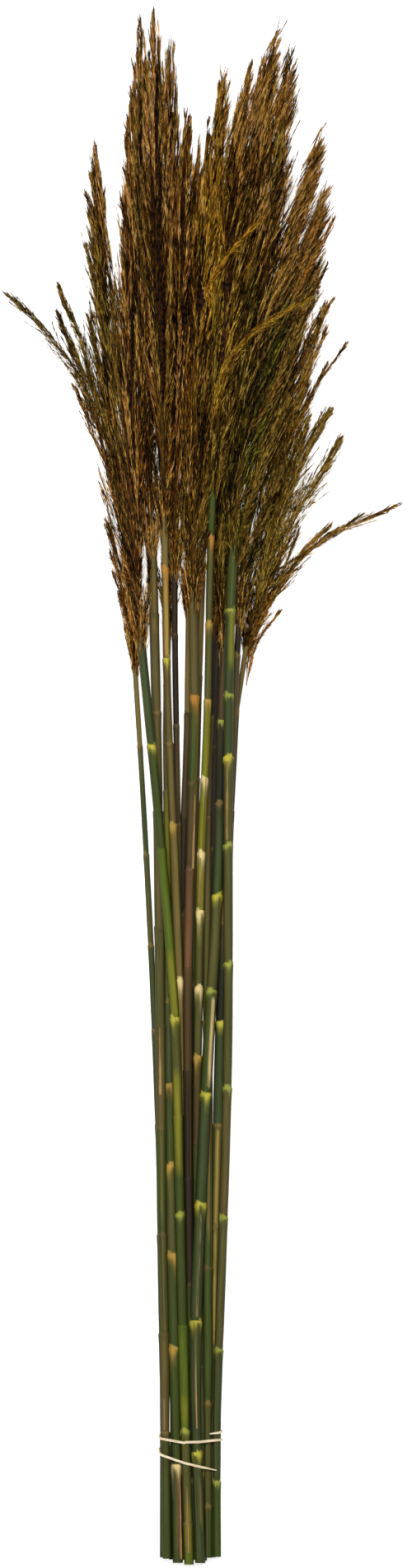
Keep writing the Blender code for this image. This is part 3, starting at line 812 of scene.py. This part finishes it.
def colour_locks(points, chance):
    """How golden and how green each lock is."""
    gold = zone(points, GOLDEN) + chance.normal(0.0, GOLD_VARIES, len(points))
    green = zone(points, GREENISH) + np.abs(chance.normal(0.0, GREEN_VARIES, len(points)))
    return held(gold), held(green)


def grow_strays(heap, name, room, chance):
    """Slender brushes that leave the plume and stand away from it."""
    darkest, lightest, least_gold = STRAY_TONES.get(name, STRAY_TONE)
    for brush in filter(str.strip, STRAYS.get(name, "").split(";")):
        girth, *route = map(int, brush.split())
        points = [(across(column), along(row), height * MM)
                  for column, row, height in zip(route[::3], route[1::3], route[2::3])]
        points.insert(0, room.axis(points[0][1] - STRAY_ROOT))
        stalk = smooth_route(points)
        long = np.linalg.norm(np.diff(stalk, axis=0), axis=1).sum()
        tone = chance.uniform(darkest, lightest)
        gold, green = colour_locks(stalk.mean(axis=0)[None], chance)
        gold = np.maximum(gold, least_gold)
        widths = looks("plume").branch_width * np.linspace(*STRAY_TAPER, STRAY_STOPS)
        heap.tubes(3, stalk[None], widths, tone=[tone], gold=gold, green=green)
        any_width, each_pixel = STRAY_TWIGS
        count = int(long / MM * (any_width + each_pixel * girth))
        start = (np.arange(count) + chance.random(count)) / count * STRAY_LAST
        end = start + chance.uniform(*STRAY_TWIG, count) / long
        end = np.where(end > 1.0, 1.0 - (1.0 - start) * chance.uniform(0.0, 0.5, count), end)
        turn = chance.uniform(-pi, pi, count)
        out = np.sqrt(chance.random(count))
        some, reach = STRAY_SPREAD
        spread = np.where(chance.random(count) < some, chance.uniform(*reach, count), 1.0)
        ends = []
        for place, swell in ((start, STRAY_STARTS), (end, spread)):
            spot = place * (STRAY_STOPS - 1)
            before = np.minimum(spot.astype(int), STRAY_STOPS - 2)
            step = stalk[before + 1] - stalk[before]
            middle = stalk[before] + step * (spot - before)[:, None]
            side = unit(np.cross(step, (0.0, 0.0, 1.0)))
            over = np.cross(side, unit(step))
            wide = np.interp(place, *STRAY_GIRTH) * girth * STRAY_WIDER[0] + STRAY_WIDER[1]
            far = wide * PIXEL / 2 * out * swell
            aside, above = towards(turn).T * far
            ends.append(middle + side * aside[:, None] + over * above[:, None])
        tones = held(tone + chance.normal(0.0, STRAY_VARIES, count))
        dress_twigs(heap, straight(np.stack(ends, axis=1)), tones, np.repeat(gold, count),
                    np.repeat(green * STRAY_GREEN, count), chance, STRAY_SPLAY, STRAY_SIZE,
                    STRAY_SPIKELETS)


def grow_collar(heap, room, chance):
    """Twigs all round the plume's foot."""
    own = looks("plume")
    count = own.collar
    stops = TWIG_STOPS[None, :]
    foot = chance.uniform(-COLLAR_FOOT, COLLAR_FOOT, count)[:, None]
    up = foot + chance.uniform(*COLLAR_LENGTH, count)[:, None] * stops
    rim, beyond = COLLAR_OUT
    out = rim + chance.uniform(*beyond, count)[:, None] * stops
    ways = towards(np.arange(count) * GOLDEN_ANGLE)[:, None] * out[..., None]
    collar = room.place(up, ways, own.flare)
    tones = held(chance.normal(0.5, TWIG_TONE, count))
    gold, green = colour_locks(collar[:, 0], chance)
    dress_twigs(heap, collar, tones, gold, green, chance, COLLAR_SPLAY, COLLAR_SIZE)


def grow_shade_core(heap, room):
    """A dark core deep inside a plume, its inner strands as one form in painted shade, and the stem's
    end.
    """
    shade_core = tube_shape(SHADE_CORE_SIDES, AXIS_STOPS)
    up = np.linspace(*SHADE_CORE_REACH, AXIS_STOPS)[shade_core.rings]
    swell = SHADE_CORE_WIDTH * np.minimum(shade_core.rings / 4 + 0.1, 1.0)
    within = room.place(up, shade_core.corners[:, :2] * swell[:, None], 0.0)
    # the darkest tone throughout: painted shade
    heap.add(shade_core, within[None], tone=[0.0], gold=[0.0], green=[0.0])
    axis = room.place(np.linspace(0.0, AXIS_END, AXIS_STOPS)[None], np.zeros((1, AXIS_STOPS, 2)), 0.0)
    heap.tubes(6, axis, np.linspace(*AXIS_WIDTH, AXIS_STOPS), tone=[0.15], gold=[0.1], green=[0.3])


def grow_plume(name, material):
    """Branches that leave the axis, follow the plume's surface and end in pointed locks of twigs."""
    own = looks("plume")
    chance = np.random.default_rng(int(name))
    room = Room("plume_" + name)
    heap = Heap()
    count = own.branches
    starts = (np.arange(count) / count) ** CROWDING * LAST_START
    spans = np.interp(starts, *SPANS) * chance.uniform(*SPAN_VARIES, count)
    spans = np.minimum(spans, 1.0 - starts)
    turns = np.arange(count) * GOLDEN_ANGLE + chance.normal(0.0, TURN_VARIES, count)
    drift = chance.normal(0.0, DRIFT, count)
    some, near, within = OUTER
    outer = np.where(chance.random(count) < some, chance.uniform(*near, count),
                     chance.uniform(*within, count))
    some, beyond = WILD
    outside, under = WILD_WHERE
    wild = (chance.random(count) < some) & (outer > outside) & (starts < under)
    outer = np.where(wild, chance.uniform(*beyond, count), outer)

    def on_branch(number, t, lean):
        """Share of the plume's length and way from its axis, at t on each branch."""
        grown = held(t)
        out = outer[number] * (1 - (1 - grown) ** BRANCH_RISE)
        ways = towards(turns[number] + drift[number] * grown) * out[..., None]
        narrow = held((LOCK_END[0] - t) / LOCK_END[1])[..., None]
        return starts[number] + spans[number] * t, ways + lean * narrow

    shares, ways = on_branch(np.arange(count)[:, None], BRANCH_STOPS[None], 0.0)
    branches = room.place(shares, ways, own.flare)
    tones = np.clip(chance.normal(0.5, BRANCH_TONE, count), 0.05, 0.95)
    gold, green = colour_locks(branches[:, len(BRANCH_STOPS) // 2 + 1], chance)
    heap.tubes(3, branches, own.branch_width * np.linspace(1.0, BRANCH_TAPER, len(BRANCH_STOPS)),
               tone=tones * STALK_TONE, gold=gold, green=green)

    number = np.repeat(np.arange(count), own.twigs)
    many = len(number)
    first = (np.tile(np.arange(own.twigs), count) + chance.random(many)) / own.twigs
    first = first * TWIG_STARTS[0] + TWIG_STARTS[1]
    longest, last = (chance.uniform(*reach, many) for reach in TWIG_ENDS)
    last = np.minimum(first + longest, last)
    stops = TWIG_STOPS[None, :]
    at = first[:, None] + (last - first)[:, None] * stops
    lean = chance.normal(0.0, own.lock_width, (many, 1, 2)) * stops[..., None] ** 0.7
    shares, ways = on_branch(number[:, None], at, lean)
    highest = TOP_SHARE - TOP_SPREAD * chance.random((many, 1)) ** 1.2
    shares = shares - np.maximum(shares[:, -1:] - highest, 0.0)
    far = np.linalg.norm(ways, axis=-1, keepdims=True)
    tops = held(shares[:, -1] * 2 - 1)
    some, reach = BRISTLE
    bristle = np.where(chance.random(many) < some, chance.uniform(*reach, many), 0.0)
    bristle = bristle * (1 - TOP_CALM * tops)
    ways = ways * (1 + bristle[:, None, None] * stops[..., None] ** 1.4 / np.maximum(far, 0.3))
    twigs = straight(fanned(room.place(shares[:, (0, -1)], ways[:, (0, -1)], own.flare)))
    # how deep inside the plume each twig ends, for its painted shade
    inner = held(1.0 - far[:, -1, 0] / 0.85)
    twig_tones = (tones[number] + chance.normal(0.0, TWIG_TONE, many) + INNER_SHADE * inner
                  + TOP_TONE * tops + PLUME_TONES.get(name, 0.0) * (1 - shares[:, -1])
                  - zone(twigs[:, 1], SHADED))
    aside = held(np.abs(twigs[:, -1, 0] - FAN_MIDDLE) / SIDE_FROM - 1)
    low = held(1 - shares[:, 0] / FOOT_PART)
    splay = (TWIG_SPLAY + FOOT_SPLAY * low + SIDE_SPLAY * aside) * (1 - TOP_CALM * tops)
    dress_twigs(heap, twigs, np.clip(twig_tones, *TONE_REACH), gold[number], green[number], chance,
                splay[:, None])
    grow_collar(heap, room, chance)
    grow_shade_core(heap, room)
    grow_strays(heap, name, room, chance)
    show("plume_strands_" + name, heap.mesh("plume_strands_" + name), material, "reed_plume",
         "plume_" + name)


class REEDS_OT_plumes(bpy.types.Operator):
    """Grow the branches, twigs and spikelets of every plume"""

    bl_idname = "reeds.plumes"
    bl_label = "Plumes"

    def execute(self, context):
        material = plume_finish()
        for name in NAMES:
            grow_plume(name, material)
        return {"FINISHED"}


# Every stem from the foot upwards: the colours of its nodes, and of its stretches between nodes.
# A colour that is repeated has its count after a star.
# The night and umber stretches are partly painted shade, where a stem lies in its neighbours' shadow.
STEMS = {
    "01": ("gold tan*7", "moss blue_green*2 moss*2 blue_green olive blue_green tan"),
    "02": ("tan pale_green plain pale_green plain yellow plain yellow",
           "leaf olive leaf moss*2 olive leaf moss blue_green"),
    "03": ("tan drab*5 tan*2 drab", "moss drab olive moss drab olive drab*4"),
    "04": ("tan*3 cream*2 gold tan yellow copper", "brown olive leaf moss tan drab*4 tan"),
    "05": ("cream gold*4 tan drab tan*2", "moss*3 olive moss blue_green olive lime drab*2"),
    "06": ("tan drab tan*2 drab*2 tan drab brown",
           "night drab moss night moss tan drab brown umber*2"),
    "07": ("tan drab*5 brown*2", "brown drab leaf moss olive drab umber brown tan"),
    "08": ("tan drab brown plain*3 rose drab copper",
           "moss night moss umber*2 brown rose brown moss drab"),
    "09": ("tan drab*5 tan*3", "moss night moss umber night moss drab*2 tan drab"),
    "10": ("gold tan*2 brown gold cream*4 gold*2 copper",
           "moss olive drab moss brown olive*2 lime*3 olive*2 moss"),
    "11": ("tan*2 drab*2 gold drab tan*2", "moss olive moss*2 brown olive drab*2 umber"),
    "12": ("tan*5 brown*3", "olive umber*2 night moss blue_green night umber*2"),
    "13": ("yellow*4 pale_green yellow tan pale_green",
           "blue_green*4 moss olive blue_green night brown"),
    "14": ("pale_green*6 yellow pale_green*2", "moss blue_green olive drab olive*3 blue_green*2 moss"),
    "15": ("tan*4 yellow tan*3", "moss*3 olive blue_green night tan drab umber"),
    "16": ("tan*7 copper", "moss*2 olive drab olive night olive*2 tan"),
}

# Streaks of another colour, each as reed, first and last row, side in degrees from +X towards
# +Z, half-width in degrees, colour
STREAKS = """
    02 1030 1140 78 50 leaf; 02 1163 1236 80 55 lime; 02 1303 1422 95 50 lime;
    02 1620 1712 90 80 leaf; 02 1700 1730 90 60 lime; 02 1820 1890 84 50 lime;
    14 740 814 60 40 lime; 04 690 800 80 36 gold; 03 680 770 92 28 tan; 08 850 1050 35 26 tan;
    10 960 1025 90 60 lime; 13 1210 1320 62 16 cream; 15 1370 1538 96 12 gold;
    15 1542 1636 86 12 gold; 03 1365 1480 80 12 tan; 03 1598 1735 80 14 tan; 11 1343 1440 84 22 tan;
    11 1440 1505 80 20 tan; 04 1002 1190 74 40 tan; 04 1200 1380 80 40 tan; 04 905 1000 80 18 tan;
    01 815 900 100 60 tan; 05 1785 1899 62 30 rose; 13 1790 1855 60 14 tan
"""
STEM_SEED = 100
STEM_SIDES = 14
STEM_CORNERS = 7  # of one section of the solid
STEM_WIDER = 1.09  # the round stem against the solid's corners
# How stout each stem is against its solid, near its plume and halfway along
STOUT = {
    "01": (1.0, 1.05), "02": (1.16, 1.16), "03": (1.16, 1.2), "04": (1.18, 1.4), "05": (1.04, 1.35),
    "06": (1.1, 1.3), "07": (1.0, 1.4), "08": (1.05, 1.0), "09": (1.0, 1.4), "10": (1.1, 1.16),
    "11": (1.0, 1.5), "12": (1.2, 1.5), "13": (1.0, 1.25), "14": (1.0, 1.05), "15": (1.0, 1.6),
    "16": (1.1, 1.25),
}
HALFWAY = (1725, 1660, 1080, 950)  # rows where the second starts, is full, and gives way
FOOT_STOUT = 1.02
# How far a stem goes on past its solid, and its width there
STEM_TOPS = ((0.004, 0.97), (0.010, 0.80), (0.018, 0.55), (0.030, 0.34))
STRETCH = 0.016  # between two sections where nothing changes
# A node's outline: millimetres from it along the stem, and the width
NODE_STOPS = ((-20, 1.0), (-14, 1.01), (-10, 1.03), (-7, 1.055), (-5, 1.075), (-3.5, 1.09),
              (-2.2, 1.1), (-1.2, 1.1), (-0.5, 1.08), (0, 1.03), (0.4, 0.96), (1.0, 0.95),
              (2.0, 0.95), (4, 0.96), (8, 0.97))
WALL = 0.3  # of the radius, round the hollow foot
HOLLOW_DEPTH = 0.008
SHARP = radians(50)
LEAN = (0.4, 0.5)  # from where a stretch leans to the colour of the next one, and how much
BAND = 4.0  # millimetres below a node that keep some of its colour
WIDE_BANDS = {"cream": 13.0, "gold": 11.0, "copper": 14.0, "yellow": 8.0, "pale_green": 5.0}
STREAK_FADE = 0.004
SIDE_SHADE = 0.24  # painted shade on a stem's flanks and back: how much of its colour they keep
LIT = (1.15, 1.3)  # how wide the lit top above the painted shade is, and how soft its edge
RAGGED = ("yellow", "pale_green")  # nodes of these colours keep torn flakes of their sheaths
FLAKES = 6
FLAKE_WIDTH = 0.0013
FLAKE_LENGTH = (0.0015, 0.0055)
FLAKE_WAYS = (1.0, -1.0, -1.2)  # up or down the stem
FLAKE_ROOT = (1.08, 0.9)  # its wide foot and its inner corner, against the stem's radius
FLAKE_OUT = (1.12, 1.42)
FLAKE_GLOW = 1.1  # how much lighter they are than the node
CUT_FACE = 0.8  # within this share of the radius lies the cut foot
SEAM_STRENGTH = (0.2, 0.9)
SEAM_TWIST = 1.2  # radians for each metre
FIBRE_SHIFT = 7.3  # from stem to stem, so that no two have the same streaks


def spelled(text):
    """The colours of one line, each as often as its count says."""
    names = []
    for word in text.split():
        name, _, times = word.partition("*")
        names += [name] * int(times or 1)
    return names


class Cane:
    """One stem, measured on its solid, and the names of its colours."""

    def __init__(self, name):
        self.name = name
        self.shades, self.stretches = map(spelled, STEMS[name])
        rings = solid_rings("stem_" + name, STEM_CORNERS)
        middles = rings.mean(axis=1)
        self.levels = middles[:, 1]
        self.middles = middles[:, (0, 2)]
        self.widths = np.linalg.norm(rings - middles[:, None], axis=2).mean(axis=1)
        self.nodes = self.levels[2:-1:2]
        plain = np.append(np.arange(1, len(rings) - 1, 2), len(rings) - 1)
        self.plain = (self.levels[plain], self.widths[plain])

    def radius(self, y):
        """The stem's radius without its nodes."""
        return np.interp(y, *self.plain)

    def middle(self, y):
        return line_at(y, self.levels, self.middles)

    def follow(self, room):
        """Lets the middle line go on along the plume that the stem carries."""
        above = self.levels[-1] + np.array(STEM_TOPS)[:, 0]
        self.levels = np.append(self.levels, above)
        self.middles = np.concatenate((self.middles, line_at(above, room.levels, room.middles)))


def stem_sections(cane):
    """Where the stem has a section, and how much wider it is there than between its nodes."""
    stops = {float(cane.levels[0]): 1.0, float(cane.levels[-1]): 1.0}
    for node in cane.nodes:
        for offset, wide in NODE_STOPS:
            stops[float(node + offset * MM)] = wide
    places = sorted(stops)
    for low, high in zip(places, places[1:]):
        parts = int((high - low) / STRETCH) + 1
        for number in range(1, parts):
            stops[low + (high - low) * number / parts] = 1.0
    for rise, wide in STEM_TOPS:
        stops[float(cane.levels[-1]) + rise] = wide
    places = np.array(sorted(stops))
    above, below = STOUT[cane.name]
    stout = np.interp(places, [along(row) for row in HALFWAY], (FOOT_STOUT, below, below, above))
    return places, np.array([stops[y] for y in places]) * STEM_WIDER * stout


def stem_tints(cane, y, angle, chance):
    """The colour of every corner of a stem, from its stretches, nodes, streaks and painted flank shade.
    """
    own = looks("stem")
    ends = np.concatenate(([cane.levels[0]], cane.nodes, [cane.levels[-1]]))
    phases = chance.uniform(0.0, 2 * pi, (len(cane.nodes), 2))
    stretch = np.searchsorted(cane.nodes, y)
    base = np.array([getattr(own, item) for item in cane.stretches])
    rise = (y - ends[stretch]) / (ends[stretch + 1] - ends[stretch])
    lean = held(rise - LEAN[0])[:, None] * LEAN[1]
    tints = blend(base[stretch], base[np.minimum(stretch + 1, len(base) - 1)], lean)
    for streak in STREAKS.split(";"):
        reed, *places, shade = streak.split()
        if reed != cane.name:
            continue
        first, last, side, half = map(int, places)
        turn = (angle - radians(side) + pi) % (2 * pi) - pi
        inside = held(1.3 - np.abs(turn) / radians(half))
        for far in (y - along(last), along(first) - y):
            inside = inside * held(far / STREAK_FADE)
        tints = blend(tints, np.array(getattr(own, shade)), inside[:, None])
    for node, shade, phase in zip(cane.nodes, cane.shades, phases):
        if shade == "plain":  # the node has the colour of its stretch
            continue
        below = (node - y) / MM
        ragged = 1 + 0.45 * np.cos(angle * 3 + phase[0]) + 0.3 * np.cos(angle * 5 + phase[1])
        ragged = WIDE_BANDS.get(shade, BAND) * ragged
        under = below > -0.6 - 3.0 * held(np.cos(angle * 2 + phase[0] * 3))
        full = np.array(getattr(own, shade))
        faint = full * 0.45 + tints * 0.25
        tints = blend(tints, faint, (held(1.4 - below / ragged) * under)[:, None])
        tints = blend(tints, full, (held(1.6 - below / (ragged * 0.45)) * under)[:, None])
    # painted shade: flanks and back darker, the lit top in full colour
    lit_top = held(np.sin(angle) * LIT[0])[:, None] ** LIT[1]
    return tints * (SIDE_SHADE + (1 - SIDE_SHADE) * lit_top)


def add_flakes(bm, cane, chance):
    """Torn bits of sheath round the green nodes, each marked with its node's number."""
    marks = bm.verts.layers.int.new("flake")
    for number, (node, shade) in enumerate(zip(cane.nodes, cane.shades), 1):
        if shade not in RAGGED:
            continue
        radius = float(cane.radius(node)) * STEM_WIDER
        x, z = cane.middle(node)
        turns = np.arange(FLAKES) * 2 * pi / FLAKES + chance.uniform(0.0, 2 * pi)
        for turn in turns + chance.normal(0.0, 0.3, FLAKES):
            long = chance.uniform(*FLAKE_LENGTH) * chance.choice(FLAKE_WAYS)
            half = FLAKE_WIDTH * chance.uniform(0.7, 1.3) / radius
            rim, inner = FLAKE_ROOT
            places = ((turn - half, rim, 0.0), (turn + half, rim, 0.0), (turn, inner, 0.0),
                      (turn, chance.uniform(*FLAKE_OUT), long))
            corners = [bm.verts.new((x + np.cos(way) * radius * out, node + rise,
                                     z + np.sin(way) * radius * out)) for way, out, rise in places]
            for corner in corners:
                corner[marks] = number
            bmesh.ops.convex_hull(bm, input=corners)


def make_stem(name, material):
    """A jointed stem with a hollow cut foot."""
    chance = np.random.default_rng(STEM_SEED + int(name))
    cane = Cane(name)
    places, swell = stem_sections(cane)
    cane.follow(Room("plume_" + name))
    bm, flat = grid(STEM_SIDES, len(places) - 1)
    side = np.round((flat[:, 0] + 1) / 2 * STEM_SIDES).astype(int) % STEM_SIDES
    row = np.round((flat[:, 1] + 1) / 2 * (len(places) - 1)).astype(int)
    y = places[row]
    angle = pi / 2 + side * 2 * pi / STEM_SIDES
    radius = cane.radius(y) * swell[row]
    x, z = (cane.middle(y) + towards(angle) * radius[:, None]).T
    move(bm, np.stack((x, y, np.maximum(z, LOWEST)), axis=1))
    bmesh.ops.remove_doubles(bm, verts=bm.verts[:], dist=0.00001)
    rims = [edge for edge in bm.edges if edge.is_boundary]
    caps = bmesh.ops.edgeloop_fill(bm, edges=rims)["faces"]
    foot = min(caps, key=lambda face: face.calc_center_median().y)
    bmesh.ops.recalc_face_normals(bm, faces=bm.faces[:])
    bmesh.ops.inset_region(bm, faces=[foot], thickness=float(cane.radius(places[0])) * WALL)
    deep = bmesh.ops.extrude_face_region(bm, geom=[foot])["geom"]
    hollow = [item for item in deep if isinstance(item, bmesh.types.BMVert)]
    bmesh.ops.delete(bm, geom=[foot], context="FACES_ONLY")
    bmesh.ops.translate(bm, verts=hollow, vec=(0.0, HOLLOW_DEPTH, 0.0))
    add_flakes(bm, cane, chance)
    mesh = mesh_of(bm, "reed_" + name)
    mesh.set_sharp_from_angle(angle=SHARP)
    paint_stem(cane, mesh, chance)
    show("reed_" + name, mesh, material, "reed_stem", "stem_" + name)


def paint_stem(cane, mesh, chance):
    """Gives every corner its tint, its place along the fibres and its place from the seam."""
    corners = corners_of(mesh)
    y = corners[:, 1]
    spokes = corners[:, (0, 2)] - cane.middle(y)
    angle = np.arctan2(spokes[:, 1], spokes[:, 0])
    tints = stem_tints(cane, y, angle, chance)
    tints[np.linalg.norm(spokes, axis=1) < cane.radius(y) * CUT_FACE] = looks("stem").tan
    flakes = np.empty(len(y), np.int32)
    mesh.attributes["flake"].data.foreach_get("value", flakes)
    shades = np.array([getattr(looks("stem"), shade) if shade in RAGGED else (0.0, 0.0, 0.0)
                       for shade in cane.shades])
    torn = flakes > 0
    tints[torn] = shades[flakes[torn] - 1] * FLAKE_GLOW
    write(mesh, "tint", np.column_stack((tints, np.ones(len(y)))))
    stretch = np.searchsorted(cane.nodes, y)
    seams = chance.uniform(0.0, 2 * pi, len(cane.nodes) + 1)
    turn = angle - seams[stretch] - (y - cane.levels[0]) * SEAM_TWIST
    write(mesh, "around", np.column_stack((towards(turn), np.zeros(len(y)))))
    fibre = np.column_stack((np.cos(angle), y, np.sin(angle)))
    write(mesh, "fibre", fibre + int(cane.name) * FIBRE_SHIFT)
    write(mesh, "seam", chance.uniform(*SEAM_STRENGTH, len(cane.nodes) + 1)[stretch])


class REEDS_OT_stems(bpy.types.Operator):
    """Make the sixteen jointed stems"""

    bl_idname = "reeds.stems"
    bl_label = "Stems"

    def execute(self, context):
        material = stem_finish()
        for name in NAMES:
            make_stem(name, material)
        return {"FINISHED"}


SHEATH_SEED = 500
SHEATH_CORNERS = 4
SHEATH_COLUMNS = 6
SHEATH_ROWS = 48
SHEATH_THICKNESS = 0.00025
RAGS = 20  # places along a sheath where its edges differ in width
RAG_WIDTH = (0.42, 0.68)
VEIN_SCALE = (1000, 200)  # across the sheath and through it


def make_sheath(node, material):
    """A papery strip, hollow along its middle and ragged at its edges, in place of its solid."""
    chance = np.random.default_rng(SHEATH_SEED + int(node.split("_")[-1]))
    rings = solid_rings(node, SHEATH_CORNERS)
    middles = rings.mean(axis=1)
    first = rings[0]
    side = unit(first[np.argmax(first[:, 0])] - first[np.argmin(first[:, 0])])
    side = unit(side * (1.0, 0.0, 1.0))
    up = np.array((-side[2], 0.0, side[0]))
    halves = np.abs((rings - middles[:, None]) @ side).max(axis=1)
    bm, flat = grid(SHEATH_COLUMNS, SHEATH_ROWS)
    y = middles[0, 1] + (middles[-1, 1] - middles[0, 1]) * (flat[:, 1] + 1) / 2
    middle = line_at(y, middles[:, 1], middles)
    half = np.interp(y, middles[:, 1], halves)
    ragged = np.interp(flat[:, 1], np.linspace(-1, 1, RAGS), chance.uniform(*RAG_WIDTH, RAGS))
    lift = looks("dry").curl * (flat[:, 0] ** 2 - 0.3)
    move(bm, middle + side * (flat[:, 0] * half * ragged)[:, None] + up * lift[:, None])
    bmesh.ops.recalc_face_normals(bm, faces=bm.faces[:])
    bmesh.ops.solidify(bm, geom=bm.faces[:], thickness=SHEATH_THICKNESS)
    bmesh.ops.recalc_face_normals(bm, faces=bm.faces[:])
    mesh = mesh_of(bm, "dry_" + node)
    corners = corners_of(mesh)
    wide, deep = VEIN_SCALE
    write(mesh, "fibre", np.column_stack((corners @ side * wide, corners[:, 1], corners @ up * deep)))
    show("dry_" + node, mesh, material, "dry_sheath", node)


class REEDS_OT_sheaths(bpy.types.Operator):
    """Make the dry sheaths that lie along the stems"""

    bl_idname = "reeds.sheaths"
    bl_label = "Dry sheaths"

    def execute(self, context):
        own = looks("dry")
        material = dry_finish("dry_sheath_paper", own.sheath, own.sheath_shade, 2.2)
        for node in sorted(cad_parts):
            if node.startswith("leaf_sheath"):
                make_sheath(node, material)
        return {"FINISHED"}


class REEDS_OT_tie(bpy.types.Operator):
    """Finish the raffia that holds the stems"""

    bl_idname = "reeds.tie"
    bl_label = "Tie"

    def execute(self, context):
        own = looks("dry")
        finish = Finish("raffia_tie", 0.65, 0.3)
        place = finish.node("ShaderNodeTexCoord", output="Object")
        veins = finish.streaks(place, (60.0, 2400.0, 60.0), 2.0)
        finish.colour(finish.mix(veins.step(0.35, 0.6), own.raffia_shade, own.raffia))
        finish.bump(veins, 0.0001)
        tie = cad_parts["tie"]
        tie.data.materials.clear()
        tie.data.materials.append(finish.material)
        return {"FINISHED"}


LAMP_SIZE = (1.0, 1.6)
LAMP_PLACE = (-0.2, 0.25)
SENSOR = 36.0


class REEDS_OT_stage(bpy.types.Operator):
    """Set the floor, the soft light and the camera that looks straight down"""

    bl_idname = "reeds.stage"
    bl_label = "Stage"

    def execute(self, context):
        own = looks("stage")
        finish = Finish("floor", 0.9, 0.1)
        finish.colour(own.floor)
        finish.feed(finish.shader.inputs["Emission Color"], own.floor)
        finish.feed(finish.shader.inputs["Emission Strength"], own.floor_glow)
        bm = bmesh.new()
        bmesh.ops.create_grid(bm, x_segments=1, y_segments=1, size=own.floor_size / 2)
        mesh = mesh_of(bm, "floor")
        mesh.materials.append(finish.material)
        floor = added("floor", mesh)
        lamp = bpy.data.lights.new("soft_lamp", "AREA")
        lamp.shape = "RECTANGLE"
        lamp.size, lamp.size_y = LAMP_SIZE
        lamp.energy = own.lamp_power
        holder = added("soft_lamp", lamp)
        holder.location = (*LAMP_PLACE, own.lamp_height)
        holder.rotation_euler = (-holder.location).to_track_quat("-Z", "Y").to_euler()
        world = bpy.data.worlds.new("sky")
        world.use_nodes = True
        background = world.node_tree.nodes["Background"]
        background.inputs["Color"].default_value = (1.0, 1.0, 1.0, 1.0)
        background.inputs["Strength"].default_value = own.sky
        context.scene.world = world
        context.scene.view_settings.view_transform = "Standard"
        lens = bpy.data.cameras.new("camera")
        lens.sensor_width = SENSOR
        distance = own.camera_height - own.focus_height
        lens.lens = SENSOR * distance / (PICTURE_HEIGHT * PIXEL)
        lens.clip_start = 1.0
        lens.clip_end = own.camera_height * 2
        camera = added("camera", lens)
        camera.location = (across(PICTURE_WIDTH / 2), along(PICTURE_HEIGHT / 2), own.camera_height)
        context.scene.camera = camera
        return {"FINISHED"}


class REEDS_PT_pieces(bpy.types.Panel):
    """The pieces of the bunch and what can be changed on them"""

    bl_idname = "REEDS_PT_pieces"
    bl_label = "Bunch of reeds"
    bl_space_type = "VIEW_3D"
    bl_region_type = "UI"
    bl_category = "Reeds"

    def draw(self, context):
        for group, operators in PIECES:
            box = self.layout.box()
            for operator in operators:
                box.operator(operator.bl_idname)
            own = looks(group)
            for key in own.__annotations__:
                box.prop(own, key)


GROUPS = {"stage": StageLooks, "stem": StemLooks, "plume": PlumeLooks, "dry": DryLooks}
PIECES = (("stage", (REEDS_OT_stage,)), ("stem", (REEDS_OT_stems,)),
          ("plume", (REEDS_OT_plumes,)), ("dry", (REEDS_OT_sheaths, REEDS_OT_tie)))


def register():
    for group, kind in GROUPS.items():
        bpy.utils.register_class(kind)
        setattr(bpy.types.Scene, "reeds_" + group, PointerProperty(type=kind))
    for _, operators in PIECES:
        for operator in operators:
            bpy.utils.register_class(operator)
    bpy.utils.register_class(REEDS_PT_pieces)


def unregister():
    bpy.utils.unregister_class(REEDS_PT_pieces)
    for _, operators in reversed(PIECES):
        for operator in reversed(operators):
            bpy.utils.unregister_class(operator)
    for group, kind in reversed(GROUPS.items()):
        delattr(bpy.types.Scene, "reeds_" + group)
        bpy.utils.unregister_class(kind)


def main():
    register()
    bpy.ops.reeds.stage()
    bpy.ops.reeds.stems()
    bpy.ops.reeds.plumes()
    bpy.ops.reeds.sheaths()
    bpy.ops.reeds.tie()


if __name__ == "__main__":
    main()
